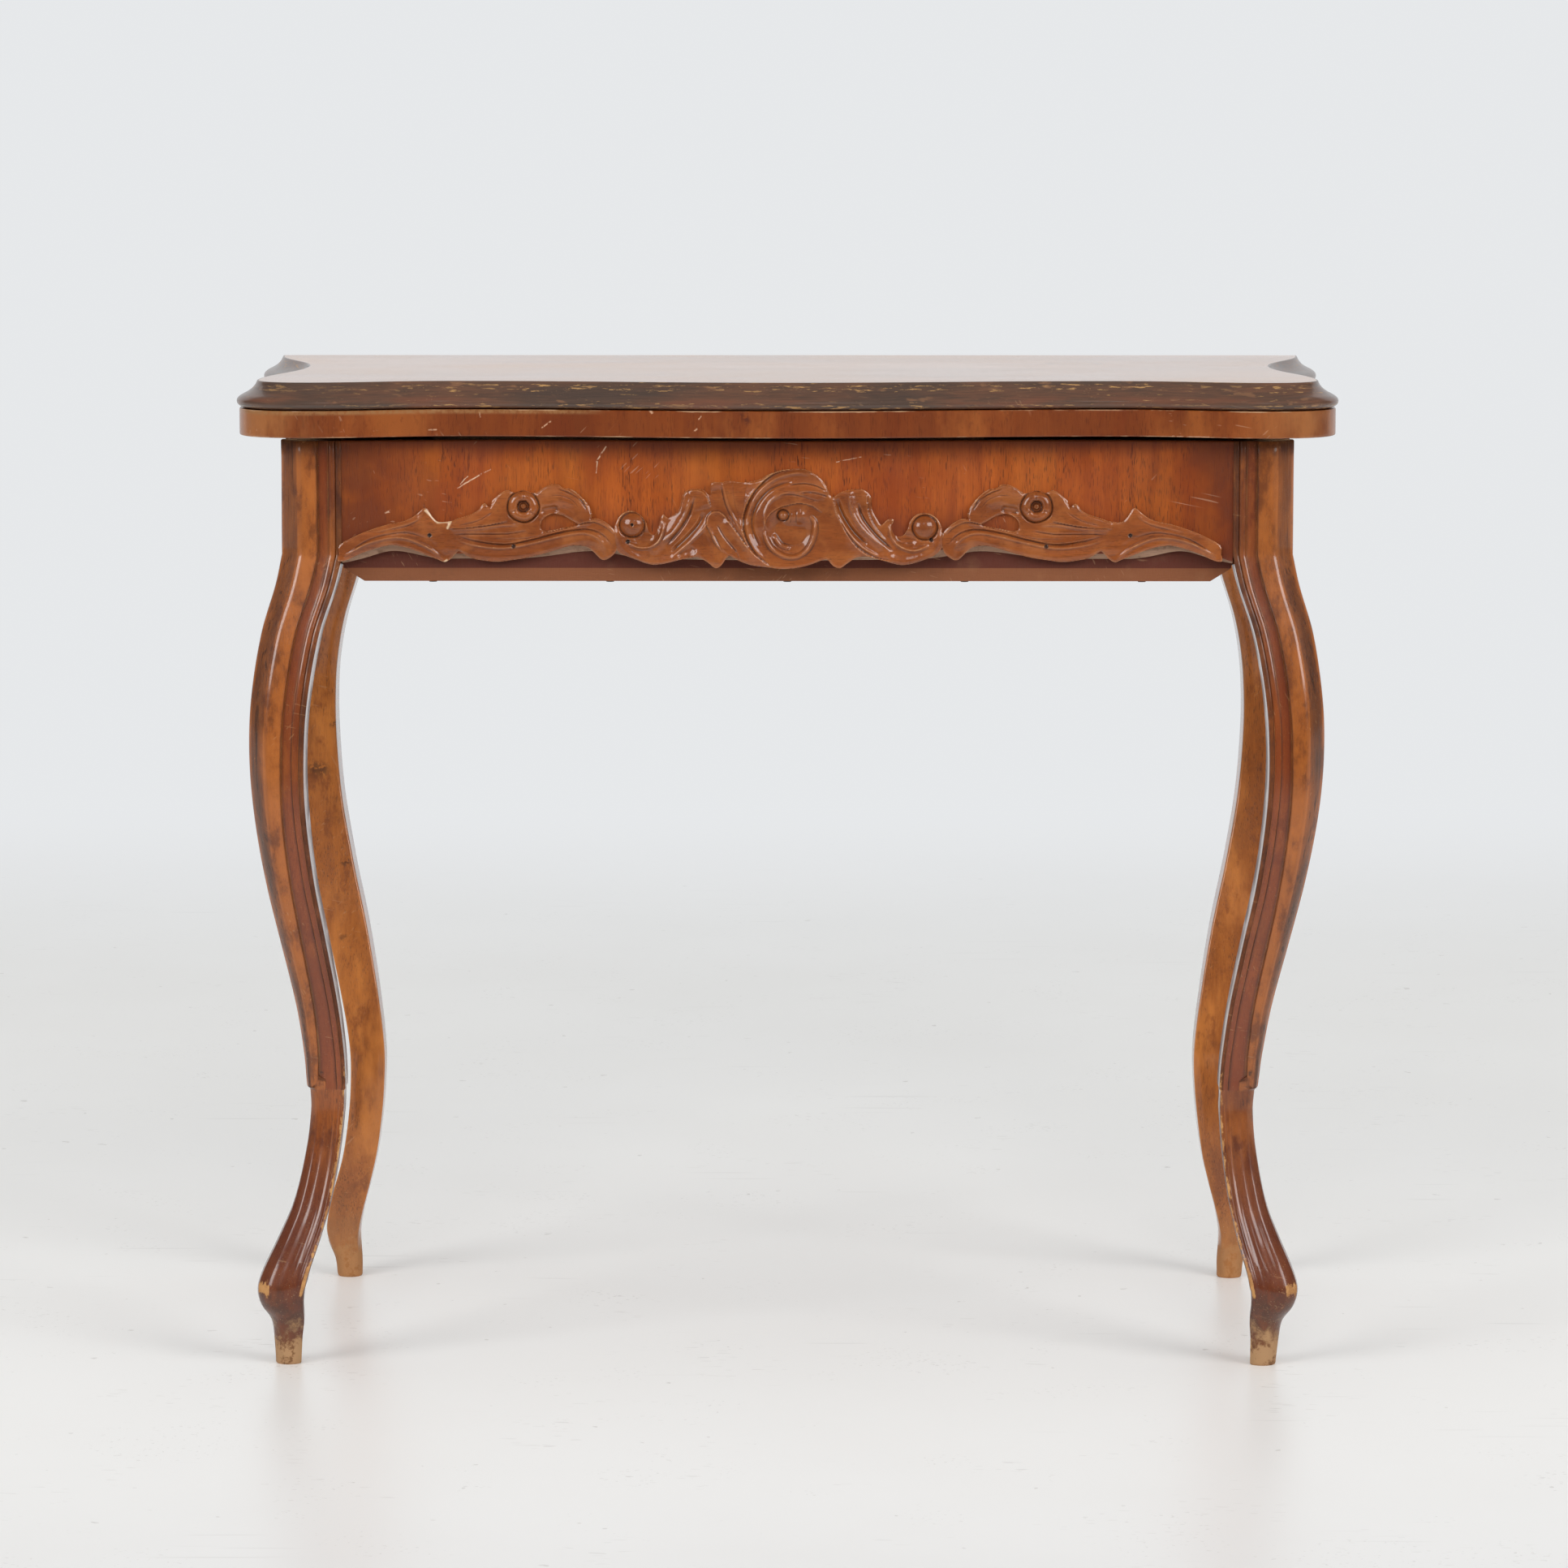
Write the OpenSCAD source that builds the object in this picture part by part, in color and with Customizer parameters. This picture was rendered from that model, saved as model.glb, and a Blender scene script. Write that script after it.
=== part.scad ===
// Games table: a swivelling top of two folding leaves on a frame with cabriole legs.
// Millimetres, +Z up, the front faces -Y, the origin lies on the floor under the middle.

/* [Top] */
// Width of the top across its front ears
top_w = 840; // [800:2:880]
// Depth of one leaf, from its front to the hinge line
leaf_d = 420; // [410:2:440]
// Thickness of each leaf
leaf_t = 20.5; // [18:0.5:24]
// Gap between the folded leaves
leaf_gap = 0.3; // [0.3:0.1:0.8]
// How far each side swells past the front ears at the hinge line
hinge_swell = 12; // [0:1:16]
// How far each side hollows in behind the ear
side_hollow = 23; // [10:1:32]
// Distance of the side hollow from the hinge line
side_hollow_y = 180; // [160:5:220]
// How far the front hollows in on either side of its middle
front_hollow = 24; // [10:1:32]
// Distance of the front hollow from the middle
front_hollow_x = 250; // [220:5:270]
// Width of the rounded ear at each front corner
ear_w = 54; // [44:1:70]
// Depth of the rounded ear at each front corner
ear_d = 60; // [44:1:70]
// Width of the hollow in the moulded edge of the upper leaf
cove_w = 7.4; // [5:0.2:10]
// Height of the hollow in the moulded edge of the upper leaf
cove_h = 8; // [6:0.5:10]
// Width of the rounded nose of the moulded edge
nose_w = 7.9; // [5:0.1:10]
// How far the square edge of the lower leaf stays behind the nose
lower_inset = 2; // [1:0.5:6]

/* [Frame] */
// Overall height
table_h = 760; // [720:5:800]
// How far the ears of the top reach past the leg blocks at either side
side_overhang = 34; // [30:1:44]
// How far the leaf reaches past the leg blocks at the front and the back
end_overhang = 30; // [25:1:38]
// Free space between the frame and the lower leaf
top_gap = 4; // [3:0.5:6]
// Height of the four rails
rail_h = 98; // [94:1:104]
// Thickness of the straight front and back rails
rail_t = 22; // [18:1:26]
// How far the back rail stays behind the faces of the legs
back_inset = 5; // [2:1:8]
// Thickness of a side rail at its ends
side_t = 40; // [34:1:44]
// How far a side rail stays behind the outer faces of the legs
side_inset = 12; // [8:1:16]
// How far the outer face of a side rail hollows in at its middle
side_curve = 14; // [0:1:18]
// Thickness of the tenons
tenon_t = 12; // [8:1:14]
// Length of the tenons of the front and back rails
tenon_l = 16; // [12:1:17]
// Length of the tenons of the side rails
side_tenon_l = 22; // [14:1:26]
// Height left between a tenon and the edges of its rail
tenon_shoulder = 15; // [10:1:22]
// Clearance round each tenon in its mortise
tenon_fit = 0.1; // [0.05:0.05:0.3]

/* [Front] */
// Distance from the leg faces back to the straight front rail
core_step = 19; // [16:1:22]
// Least distance from the leg faces back to the shaped front, at its middle
face_inset = 0.5; // [0:0.5:4]
// Depth of the waves of the shaped front
face_wave = 14; // [4:1:16]
// Distance between two hollows of the shaped front
face_pitch = 410; // [380:10:440]
// Height of the scallops along the lower edge of the shaped front
scallop_h = 20; // [14:1:22]
// Height of the bevel under the shaped front
bevel_h = 7; // [4:0.5:9]
// Depth of the bevel under the shaped front
bevel_d = 5; // [2:0.5:5.5]
// Thickness of the flat carved ornament
relief_t = 6; // [3:0.5:8]
// Height of the centre carving above the lower edge of the rails
carving_h = 78; // [70:1:84]
// Outer radius of the scrolled ring in the centre carving
ring_r = 20; // [14:1:22]
// How far that ring stands above the flat ornament
ring_rise = 3; // [1:0.5:4]
// How far the carving sits left of the middle
carving_left = 6; // [0:0.5:8]
// Radius of the ball at the end of a scroll
ball_r = 9; // [6:0.5:11]
// Radius of the round flower on each spray
flower_r = 11.5; // [8:0.5:14]
// How far a flower stands above its spray
flower_rise = 2; // [1:0.5:3]

/* [Legs] */
// Width of the square block of a leg
block_w = 47; // [44:1:52]
// Height of the square block of a leg
block_h = 87; // [84:1:92]
// Chamfer on the outer corner of a leg block
corner_cut = 14; // [8:1:16]
// Width of the flat band beside the chamfer
band_w = 14.5; // [10:0.5:16]
// How far the tongue stands proud of the bead beside it
tongue_step = 2.6; // [1.5:0.1:3.5]
// Width of the bead
bead_w = 10; // [6:0.5:12]
// Width of the flat fillet beside the rail
fillet_w = 5; // [3:0.5:7]
// How far the knee swells outward
knee_out = 26; // [20:1:30]
// How far the ankle draws inward
ankle_in = 10; // [4:1:14]
// How far the foot stands outward
foot_out = 14; // [8:1:20]
// How much further in the back feet stand than the front feet
foot_setback = 12; // [8:1:14]
// Width of the toe
toe_w = 41; // [34:1:43]
// Width of the round foot on the floor
foot_w = 21.5; // [16:0.5:26]
// How far the front feet have racked to the left with age
rack = 9; // [0:1:12]

/* [Card well] */
// Thickness of the bottom board
floor_t = 10; // [8:1:14]
// Length of the bevel at the ends of the bottom board
floor_bevel = 16; // [10:1:20]
// Width of a glued corner block
corner_block = 34; // [24:2:40]
// Height of a glued corner block
corner_block_h = 60; // [40:5:70]
// Diameter of the nails under the bottom board
nail_d = 2.4; // [2:0.2:3.4]
// Length of the nails under the bottom board
nail_l = 32; // [24:2:40]
// Diameter of a nail head
nail_head_d = 6; // [5:0.5:8]
// Height of a nail head
nail_head_h = 1.2; // [0.8:0.2:2]

/* [Pivot] */
// Width of the cross rail that carries the pivot
bearer_w = 60; // [56:2:64]
// Thickness of the cross rail that carries the pivot
bearer_t = 25; // [20:1:30]
// Depth of the housings for the cross rail
housing = 8; // [5:1:10]
// Diameter of the pivot bolt
bolt_d = 12; // [10:1:14]
// Running clearance round the pivot bolt
bolt_fit = 0.05; // [0.03:0.01:0.1]
// Thickness of the iron plate under the leaf
plate_t = 2.5; // [2:0.1:2.6]
// Side of the square iron plate
plate_w = 58; // [50:2:58]
// Diameter of the leather washer on the cross rail
leather_d = 50; // [40:2:56]
// Diameter of the iron washer under the cross rail
washer_d = 32; // [26:1:40]
// Thickness of the iron washer under the cross rail
washer_t = 2; // [1.5:0.5:3]
// Width of the square nut
nut_w = 19; // [18:1:22]
// Height of the square nut
nut_h = 9; // [8:1:12]
// Diameter of the stop peg, which meets the cross rail at either end of the turn
peg_d = 10; // [8:0.5:11]
// How far the stop peg reaches under the leaf
peg_drop = 19; // [12:1:24]
// Depth of the hole for the stop peg
peg_seat = 11; // [8:1:14]
// Width of the glide strips on the rails
glide_w = 14; // [8:1:17]
// Length of the long glide strips
glide_l = 420; // [200:10:440]
// Length of the short glide strips
glide_s = 150; // [80:10:180]
// How far the long glide strips sit left of the middle
glide_left = 60; // [20:5:100]
// Clearance between pieces that slide or turn past each other
running = 0.3; // [0.2:0.05:0.4]

/* [Hinges] */
// Distance from the middle of each hinge to the ear at its side of the top
hinge_set = 110; // [80:5:200]
// Length of a hinge
hinge_l = 64; // [60:2:80]
// Radius of the hinge barrel
barrel_r = 3.5; // [3:0.1:4]
// Thickness of a hinge leaf
hinge_t = 2; // [1.5:0.1:2.5]
// Height of a hinge leaf
hinge_h = 16; // [15:0.5:17]
// Diameter of the hinge pin
pin_d = 3; // [2:0.2:3.4]
// Clearance round the hinge pin
pin_fit = 0.05; // [0.03:0.01:0.1]
// Diameter of the wood screws
screw_d = 3.4; // [2.6:0.2:4]
// Diameter of a screw head
screw_head = 6.4; // [5.6:0.2:7]
// Length of a wood screw
screw_l = 15; // [10:1:17]

/* [Hidden] */

$fn = 48;
eps = 0.01;

// Heights
hinge_z = table_h - leaf_t - leaf_gap / 2;
leaf_under = hinge_z - leaf_gap / 2 - leaf_t;
frame_top = leaf_under - top_gap;
rail_under = frame_top - rail_h;
leg_free = frame_top - block_h;

// The barrels stand out at the back, so the frame sits half a barrel forward
mid_y = (leaf_gap / 2 - barrel_r) / 2;
hinge_y = mid_y + leaf_d / 2;
leaf_back = hinge_y - leaf_gap / 2;

// Frame faces
leg_x = top_w / 2 - side_overhang;
leg_y = leaf_d / 2 - end_overhang;
gap_x = leg_x - block_w;
gap_y = leg_y - block_w;
core_front = leg_y - core_step;
core_back = core_front - rail_t;
back_outer = leg_y - back_inset;
back_inner = back_outer - rail_t;
side_outer = leg_x - side_inset;
side_inner = side_outer - side_t;
tenon_low = rail_under + tenon_shoulder;
tenon_high = frame_top - tenon_shoulder;
side_tenon_x = leg_x - side_inset - tenon_t - 5;

// Turning a quarter round this point puts the hinge line over the middle of the frame
pivot_x = leaf_d / 4;
pivot_y = mid_y + leaf_d / 4;
bolt_end = 6;
bolt_low = frame_top - bearer_t - washer_t - nut_h - bolt_end;
peg_x = bearer_w / 2 + running + peg_d / 2;
hinge_x = top_w / 2 - hinge_set;

// Ring of points round a leaf: five cubic curves for each half
ear_in = [top_w / 2 - ear_w, -leaf_d];
ear_side = [top_w / 2, ear_d - leaf_d];
hollow_front = [front_hollow_x, front_hollow - leaf_d];
hollow_side = [top_w / 2 - side_hollow, -side_hollow_y];
hinge_end = [top_w / 2 + hinge_swell, 0];
ear_pull = 0.62;
curve_pull = 0.42;
steps = 6;

function curve_at(p, t) = p[0] * pow(1 - t, 3) + 3 * p[1] * t * pow(1 - t, 2)
    + 3 * p[2] * t * t * (1 - t) + p[3] * pow(t, 3);
function curve_dir(p, t) = (p[1] - p[0]) * pow(1 - t, 2)
    + 2 * (p[2] - p[1]) * t * (1 - t) + (p[3] - p[2]) * t * t;
function across(a, b, pull) = [a, [a.x + (b.x - a.x) * pull, a.y],
    [b.x - (b.x - a.x) * pull, b.y], b];
function along(a, b, pull) = [a, [a.x, a.y + (b.y - a.y) * pull],
    [b.x, b.y - (b.y - a.y) * pull], b];
ear_curve = [ear_in, ear_in + [ear_w * ear_pull, 0], ear_side - [0, ear_d * ear_pull], ear_side];
half_curves = [across([0, -leaf_d], hollow_front, curve_pull),
    across(hollow_front, ear_in, curve_pull), ear_curve,
    along(ear_side, hollow_side, curve_pull), along(hollow_side, hinge_end, curve_pull)];

function inward(d) = [-d.y, d.x] / norm(d);
function half_ring(inset) = [for (c = half_curves, i = [0:steps - 1])
    curve_at(c, i / steps) + inset * inward(curve_dir(c, i / steps))];
function whole_ring(inset) =
    let (half = half_ring(inset), last = hinge_end - [inset, 0], n = len(half))
    concat([[-last.x, last.y]], [for (i = [n - 1:-1:1]) [-half[i].x, half[i].y]], half, [last]);

// Section of the moulded edge: how far in from the nose, and how far down from the top
edge_steps = 5;
moulded_edge = concat(
    [for (i = [0:edge_steps - 1]) let (a = 90 * i / edge_steps)
        [nose_w + cove_w * cos(a), cove_h * sin(a)]],
    [for (i = [0:2 * edge_steps]) let (a = 180 * i / (2 * edge_steps) - 90)
        [nose_w * (1 - cos(a)), (cove_h + leaf_t) / 2 + (leaf_t - cove_h) / 2 * sin(a)]]);

// Stacks closed rings with the same number of points into one solid
module loft(rings) {
    n = len(rings[0]);
    m = len(rings);
    sides = [for (k = [0:m - 2], i = [0:n - 1])
        let (j = (i + 1) % n) [k * n + i, k * n + j, (k + 1) * n + j, (k + 1) * n + i]];
    polyhedron(points = [for (r = rings) each r],
        faces = concat([[for (i = [n - 1:-1:0]) i]], sides, [[for (i = [0:n - 1]) (m - 1) * n + i]]),
        convexity = 8);
}

// Legs: height, outward shift, width, share of the width taken by the tongue, roundness
leg_curve_h = 628;
front_stations = [
    [0, foot_out, foot_w, 0.5, 1],
    [22, foot_out + 0.4, foot_w + 3, 0.5, 1],
    [35, foot_out + 0.8, foot_w + 7, 0.5, 0.95],
    [47, foot_out + 4.6, toe_w - 5, 0.5, 0.85],
    [60, foot_out + 5.6, toe_w - 1, 0.5, 0.7],
    [73, foot_out + 2.8, toe_w - 2, 0.5, 0.6],
    [99, 7.2, 34.5, 0.5, 0.5],
    [124, -0.7, 30.2, 0.5, 0.4],
    [163, -ankle_in + 2.2, 27.6, 0.5, 0.35],
    [195, -ankle_in - 0.4, 28, 0.5, 0.3],
    [211, -ankle_in, 29, 0.5, 0.25],
    [213, -ankle_in, 30, 0.24, 0.1],
    [220, -ankle_in + 0.4, 30.6, 0.32, 0.05],
    [240, -ankle_in + 2, 31.2, 0.38, 0],
    [278, -2.9, 32.8, 0.43, 0],
    [328, 6.8, 35.6, 0.47, 0],
    [379, 16.9, 37.6, 0.52, 0],
    [430, knee_out - 2.3, 40.3, 0.56, 0],
    [475, knee_out, 42.4, 0.59, 0],
    [518, knee_out - 2, 43.8, 0.6, 0],
    [568, 16, 45.2, 0.6, 0],
    [605, 5, 46.4, 0.6, 0]];
back_foot = foot_out - foot_setback;
back_stations = [
    [0, back_foot, foot_w - 1, 0, 1],
    [15, back_foot + 1, foot_w + 1, 0, 0.95],
    [28, back_foot + 4.4, foot_w + 5.5, 0, 0.6],
    [40, back_foot + 5.2, foot_w + 7.3, 0, 0.3],
    [60, back_foot + 1.5, foot_w + 7.5, 0, 0.1],
    [77, back_foot - 3.1, foot_w + 7, 0, 0],
    [104, -8.2, 27.5, 0, 0],
    [132, -12.7, 27.2, 0, 0],
    [163, -15.7, 27.5, 0, 0],
    [195, -16, 28.4, 0, 0],
    [241, -9.6, 30.5, 0, 0],
    [295, 1.1, 33.5, 0, 0],
    [349, 14.4, 36, 0, 0],
    [403, knee_out - 1, 38, 0, 0],
    [457, knee_out + 4.3, 40, 0, 0],
    [497, knee_out + 4.7, 41.5, 0, 0],
    [524, knee_out + 2.2, 42.5, 0, 0],
    [551, 23, 43.5, 0, 0],
    [577, 15, 44.5, 0, 0],
    [605, 6.5, 46, 0, 0]];
block_share = (corner_cut + band_w) / block_w;
block_station = [leg_curve_h, 0, block_w, block_share, 0];

// Smooth curve through the stations, with one more ring between each pair
function slope(t, i, c) = let (a = t[max(i - 1, 0)], b = t[min(i + 1, len(t) - 1)]) (b[c] - a[c]) / (b[0] - a[0]);
function hermite(p, q, a, b, u) = p * (1 + 2 * u) * pow(1 - u, 2) + a * u * pow(1 - u, 2)
    + q * u * u * (3 - 2 * u) - b * u * u * (1 - u);
function between(t, i, u) = let (p = t[i], q = t[i + 1], d = q[0] - p[0])
    [for (c = [0:4]) c == 1 || c == 2 ? hermite(p[c], q[c], slope(t, i, c) * d, slope(t, i + 1, c) * d, u)
        : p[c] + (q[c] - p[c]) * u];
function refined(t) = [for (i = [0:len(t) - 2]) each t[i + 1][0] - t[i][0] > 10
    ? [t[i], between(t, i, 0.5)] : [t[i]]];

// Section of a front leg with its outer corner at +X +Y, the same across the diagonal
function leg_face(h, share, step, size) =
    let (tongue = 2 * h * share, cut = tongue * corner_cut / (corner_cut + band_w),
        base = h - step, bead = -h + fillet_w * size)
    [[-h, base], [bead, base], [bead + 0.6 * size, base - 1.2 * size],
    [bead + bead_w * 0.25 * size, base + 0.3 * size],
    [bead + bead_w * 0.55 * size, base + 0.9 * size],
    [bead + bead_w * 0.85 * size, base - 0.2 * size],
    [h - tongue - 0.6 * size, base - 0.8 * size], [h - tongue, h], [h - cut, h]];
function swap_back(p) = [for (i = [len(p) - 1:-1:0]) [p[i].y, p[i].x]];
function tongued(h, share, step, size) =
    let (face = leg_face(h, share, step, size)) concat([[-h, -h]], face, swap_back(face));
function rounded(p, h, r) = [for (q = p) q * (1 - r) + r * h * q / norm(q)];
soft_step = 0.3;
function tongued_ring(s) =
    let (h = s[2] / 2, size = s[2] / block_w, step = s[4] > 0.2 ? soft_step : tongue_step * size)
    rounded(tongued(h, s[3], step, size), h, s[4]);

// Section of a plain back leg, with eased corners, outer faces faintly round and inner ones hollow
corner_ease = 3;
crown = 0.15;
function plain_ring(s) = let (h = s[2] / 2, c = h - corner_ease * s[2] / block_w, m = h + crown)
    rounded([[-h, -c], [crown - h, 0], [-h, c], [-c, h], [0, m], [c, h], [h, c], [m, 0], [h, -c],
        [c, -h], [0, crown - h], [-c, -h]], h, s[4]);

function leg_ring(flat, s, shift) = [for (i = [len(flat) - 1:-1:0])
    [flat[i].x + s[1] + shift * pow(1 - s[0] / leg_curve_h, 2), flat[i].y + s[1], s[0] * leg_free / leg_curve_h]];
function raised(ring) = concat([ring], [[for (p = ring) [p.x, p.y, frame_top]]]);
function front_rings(shift) = concat([for (s = refined(concat(front_stations, [block_station])))
    leg_ring(tongued_ring(s), s, shift)], raised(leg_ring(tongued_ring(block_station), block_station, 0)));
function back_rings() = concat([for (s = refined(concat(back_stations, [block_station])))
    leg_ring(plain_ring(s), s, 0)], raised(leg_ring(plain_ring(block_station), block_station, 0)));

// A leg with its outer corner at +X +Y, centred on its block, with the mortises of its rails
module leg(rings, tenon_y) {
    difference() {
        loft(rings);
        translate([-block_w / 2 - 1, tenon_y - leg_y + block_w / 2 - tenon_fit, tenon_low - tenon_fit])
            cube([tenon_l + 1 + tenon_fit, tenon_t + 2 * tenon_fit, tenon_high - tenon_low + 2 * tenon_fit]);
        translate([side_tenon_x - leg_x + block_w / 2 - tenon_fit, -block_w / 2 - 1, tenon_low - tenon_fit])
            cube([tenon_t + 2 * tenon_fit, side_tenon_l + 1 + tenon_fit, tenon_high - tenon_low + 2 * tenon_fit]);
    }
}
module place_leg(x, y) {
    translate([x * (leg_x - block_w / 2), mid_y + y * (leg_y - block_w / 2), 0])
        mirror([x < 0 ? 1 : 0, 0, 0])
            mirror([0, y < 0 ? 1 : 0, 0])
                leg(y < 0 ? front_rings(-x * rack) : back_rings(), y < 0 ? core_tenon_y : back_tenon_y);
}
core_tenon_y = core_front - (rail_t + tenon_t) / 2;
back_tenon_y = back_outer - (rail_t + tenon_t) / 2;
module front_left_leg() { color("sienna") place_leg(-1, -1); }
module front_right_leg() { color("sienna") place_leg(1, -1); }
module back_left_leg() { color("peru") place_leg(-1, 1); }
module back_right_leg() { color("peru") place_leg(1, 1); }

// Straight rail between two leg blocks, its outer face at +Y
module straight_rail(outer, tenon_y) {
    translate([-gap_x, outer - rail_t, rail_under])
        cube([2 * gap_x, rail_t, rail_h]);
    translate([-gap_x - tenon_l, tenon_y, tenon_low])
        cube([2 * (gap_x + tenon_l), tenon_t, tenon_high - tenon_low]);
}
module bearer_housing(y0, y1) {
    translate([pivot_x - bearer_w / 2 - tenon_fit, y0, frame_top - bearer_t - tenon_fit])
        cube([bearer_w + 2 * tenon_fit, y1 - y0, bearer_t + 2 * tenon_fit]);
}
module front_rail() {
    color("burlywood") difference() {
        translate([0, mid_y, 0]) mirror([0, 1, 0]) straight_rail(core_front, core_tenon_y);
        bearer_housing(mid_y - core_back - housing - tenon_fit, mid_y - core_back + 1);
        nail_holes();
    }
}
module back_rail() {
    color("burlywood") difference() {
        translate([0, mid_y, 0]) straight_rail(back_outer, back_tenon_y);
        bearer_housing(mid_y + back_inner - 1, mid_y + back_inner + housing + tenon_fit);
        nail_holes();
    }
}

// Side rail with a hollow outer face, seen from above
side_steps = 16;
module side_rail() {
    hollow = [for (i = [0:side_steps]) let (t = i / side_steps)
        [side_outer - side_curve * pow(sin(180 * t), 2), gap_y * (2 * t - 1)]];
    difference() {
        translate([0, mid_y, 0]) {
            translate([0, 0, rail_under])
                linear_extrude(rail_h)
                    polygon(concat(hollow, [[side_inner, gap_y], [side_inner, -gap_y]]));
            translate([side_tenon_x, -gap_y - side_tenon_l, tenon_low])
                cube([tenon_t, 2 * (gap_y + side_tenon_l), tenon_high - tenon_low]);
        }
        nail_holes();
    }
}
module right_rail() { color("chocolate") side_rail(); }
module left_rail() { color("chocolate") mirror([1, 0, 0]) side_rail(); }

// Shaped front: waved in plan, scalloped below, with a bevel under the scallops
// Marks on the lower edge, in shares of the half width and of the height of the scallops
edge_marks = [[0, 0.5], [0.177, 0.55], [0.295, 0.6], [0.437, 1], [0.625, 0.55], [0.761, 0.55], [0.885, 1.025],
    [1.02, 0.25]];
function ease(t) = (1 - cos(180 * t)) / 2;
function edge_rise(x) = let (a = abs(x) / gap_x,
    k = max([for (i = [0:len(edge_marks) - 2]) a >= edge_marks[i].x ? i : 0]),
    p = edge_marks[k], q = edge_marks[k + 1])
    scallop_h * (p.y + (q.y - p.y) * ease((a - p.x) / (q.x - p.x)));
function face_y(x) = mid_y - leg_y + face_inset + face_wave / 2 * (1 - cos(360 * x / face_pitch));
front_steps = 84;
module shaped_front() {
    back_y = mid_y - core_front;
    color("orangered") loft([for (i = [0:front_steps])
        let (x = gap_x * (2 * i / front_steps - 1), y = face_y(x), rise = edge_rise(x), z = rail_under + rise,
            low = z - bevel_h * ease(rise / scallop_h / 1.05))
        [[x, y, frame_top], [x, y, z], [x, min(y + bevel_d, back_y - 1), low], [x, back_y, low],
        [x, back_y, frame_top]]]);
}

// Flat ornament bent over the shaped front: an outline in X and Z, cut from a waved slab.
// Its outlines are drawn for legs that stand 678 apart and a carving 78 high, and they
// stretch with the frame.
stretch = gap_x / 339;
lift = carving_h / 78;
relief_reach = 3 * core_step;
module relief(t) {
    intersection() {
        translate([-carving_left, mid_y - core_front, rail_under])
            rotate([90, 0, 0])
                linear_extrude(relief_reach)
                    children();
        linear_extrude(table_h)
            polygon(concat([for (i = [0:front_steps]) let (x = gap_x * (2 * i / front_steps - 1)) [x, face_y(x)]],
                [for (i = [front_steps:-1:0]) let (x = gap_x * (2 * i / front_steps - 1)) [x, face_y(x) - t]]));
    }
}
centre_outline = [[-98, 31], [-91, 40], [-86, 43], [-82, 41], [-76, 50], [-71, 61], [-64, 63], [-55, 61],
    [-48, 49], [-51, 69], [-18, 69], [-9, 76], [6, 78], [22, 77], [33, 70], [39, 62], [40, 57], [55, 61],
    [67, 60], [71, 50], [76, 39], [86, 38], [90, 30], [97, 25], [103, 37], [111, 43], [119, 40], [123, 31],
    [123, 20], [110, 8], [87, 4], [62, 10], [46, 3], [36, 9], [22, 4], [3, 2], [-16, 4], [-34, 9], [-47, 3],
    [-62, 10], [-86, 6], [-100, 5], [-116, 12], [-122, 24], [-121, 38], [-114, 44], [-105, 38]];
spray_outline = [[125, 22], [131, 34], [139, 46], [144, 58], [160, 62], [182, 62], [200, 66], [212, 58],
    [222, 49], [232, 51], [242, 43], [262, 40], [267, 44], [280, 38], [306, 28], [332, 17], [332, 5],
    [318, 16], [300, 21], [278, 16], [264, 8], [252, 9], [248, 14], [232, 9], [206, 6], [180, 12],
    [150, 19], [144, 9], [136, 5], [129, 10]];
ball_at = [112, 34];
flower_at = [196, 48];
centre_eye = [13, 41];
ring_share = 0.62;
flower_share = 0.45;
module disc_ring(at, r, share) {
    translate([stretch * at.x, lift * at.y]) difference() {
        circle(r);
        circle(r * share);
    }
}
module centre_carving() {
    color("saddlebrown") {
        relief(relief_t) scale([stretch, lift]) polygon(centre_outline);
        relief(relief_t + ring_rise) disc_ring(centre_eye, ring_r, ring_share);
        for (side = [-1, 1]) ball(side * ball_at.x, ball_at.y);
    }
}
module ball(x, z) {
    at = stretch * x - carving_left;
    intersection() {
        translate([at, face_y(at) - ball_r / 2, rail_under + lift * z]) sphere(ball_r);
        relief(2 * ball_r) translate([stretch * x, lift * z]) circle(ball_r);
    }
}
module spray(side) {
    relief(relief_t) scale([side * stretch, lift]) polygon(spray_outline);
    relief(relief_t + flower_rise) disc_ring([side * flower_at.x, flower_at.y], flower_r, flower_share);
}
module right_spray() { color("saddlebrown") spray(1); }
module left_spray() { color("saddlebrown") spray(-1); }

// Bottom board of the card well, nailed up against the rails
floor_low = rail_under - floor_t;
module well_floor() {
    color("tan") difference() {
        translate([0, mid_y + back_outer, floor_low])
            rotate([90, 0, 0])
                linear_extrude(back_outer + core_front)
                    polygon([[-gap_x, floor_t], [gap_x, floor_t], [gap_x - floor_bevel, 0], [floor_bevel - gap_x, 0]]);
        nail_holes();
    }
}
nail_rows = [for (i = [-2:2]) 0.4 * gap_x * i];
nail_places = concat([for (x = nail_rows) [x, -(core_front + core_back) / 2 - 2]],
    [for (x = nail_rows) [x, (back_outer + back_inner) / 2 + 2]]);
module nail_holes() {
    for (p = nail_places) translate([p.x, mid_y + p.y, floor_low - 1])
        cylinder(d = nail_d + 0.1, h = nail_l + 1 + 0.1);
}
module floor_nails() {
    color("dimgray") for (p = nail_places) translate([p.x, mid_y + p.y, floor_low]) {
        cylinder(d = nail_d, h = nail_l);
        translate([0, 0, -nail_head_h]) cylinder(d = nail_head_d, h = nail_head_h);
    }
}

// Glued blocks in the four inner corners of the frame
module corner_blocks() {
    color("burlywood") for (x = [-1, 1], y = [-1, 1])
        translate([x * side_inner, mid_y + (y < 0 ? -core_back : back_inner), rail_under])
            linear_extrude(corner_block_h)
                polygon([[0, 0], [-x * corner_block, 0], [0, -y * corner_block]]);
}

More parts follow.
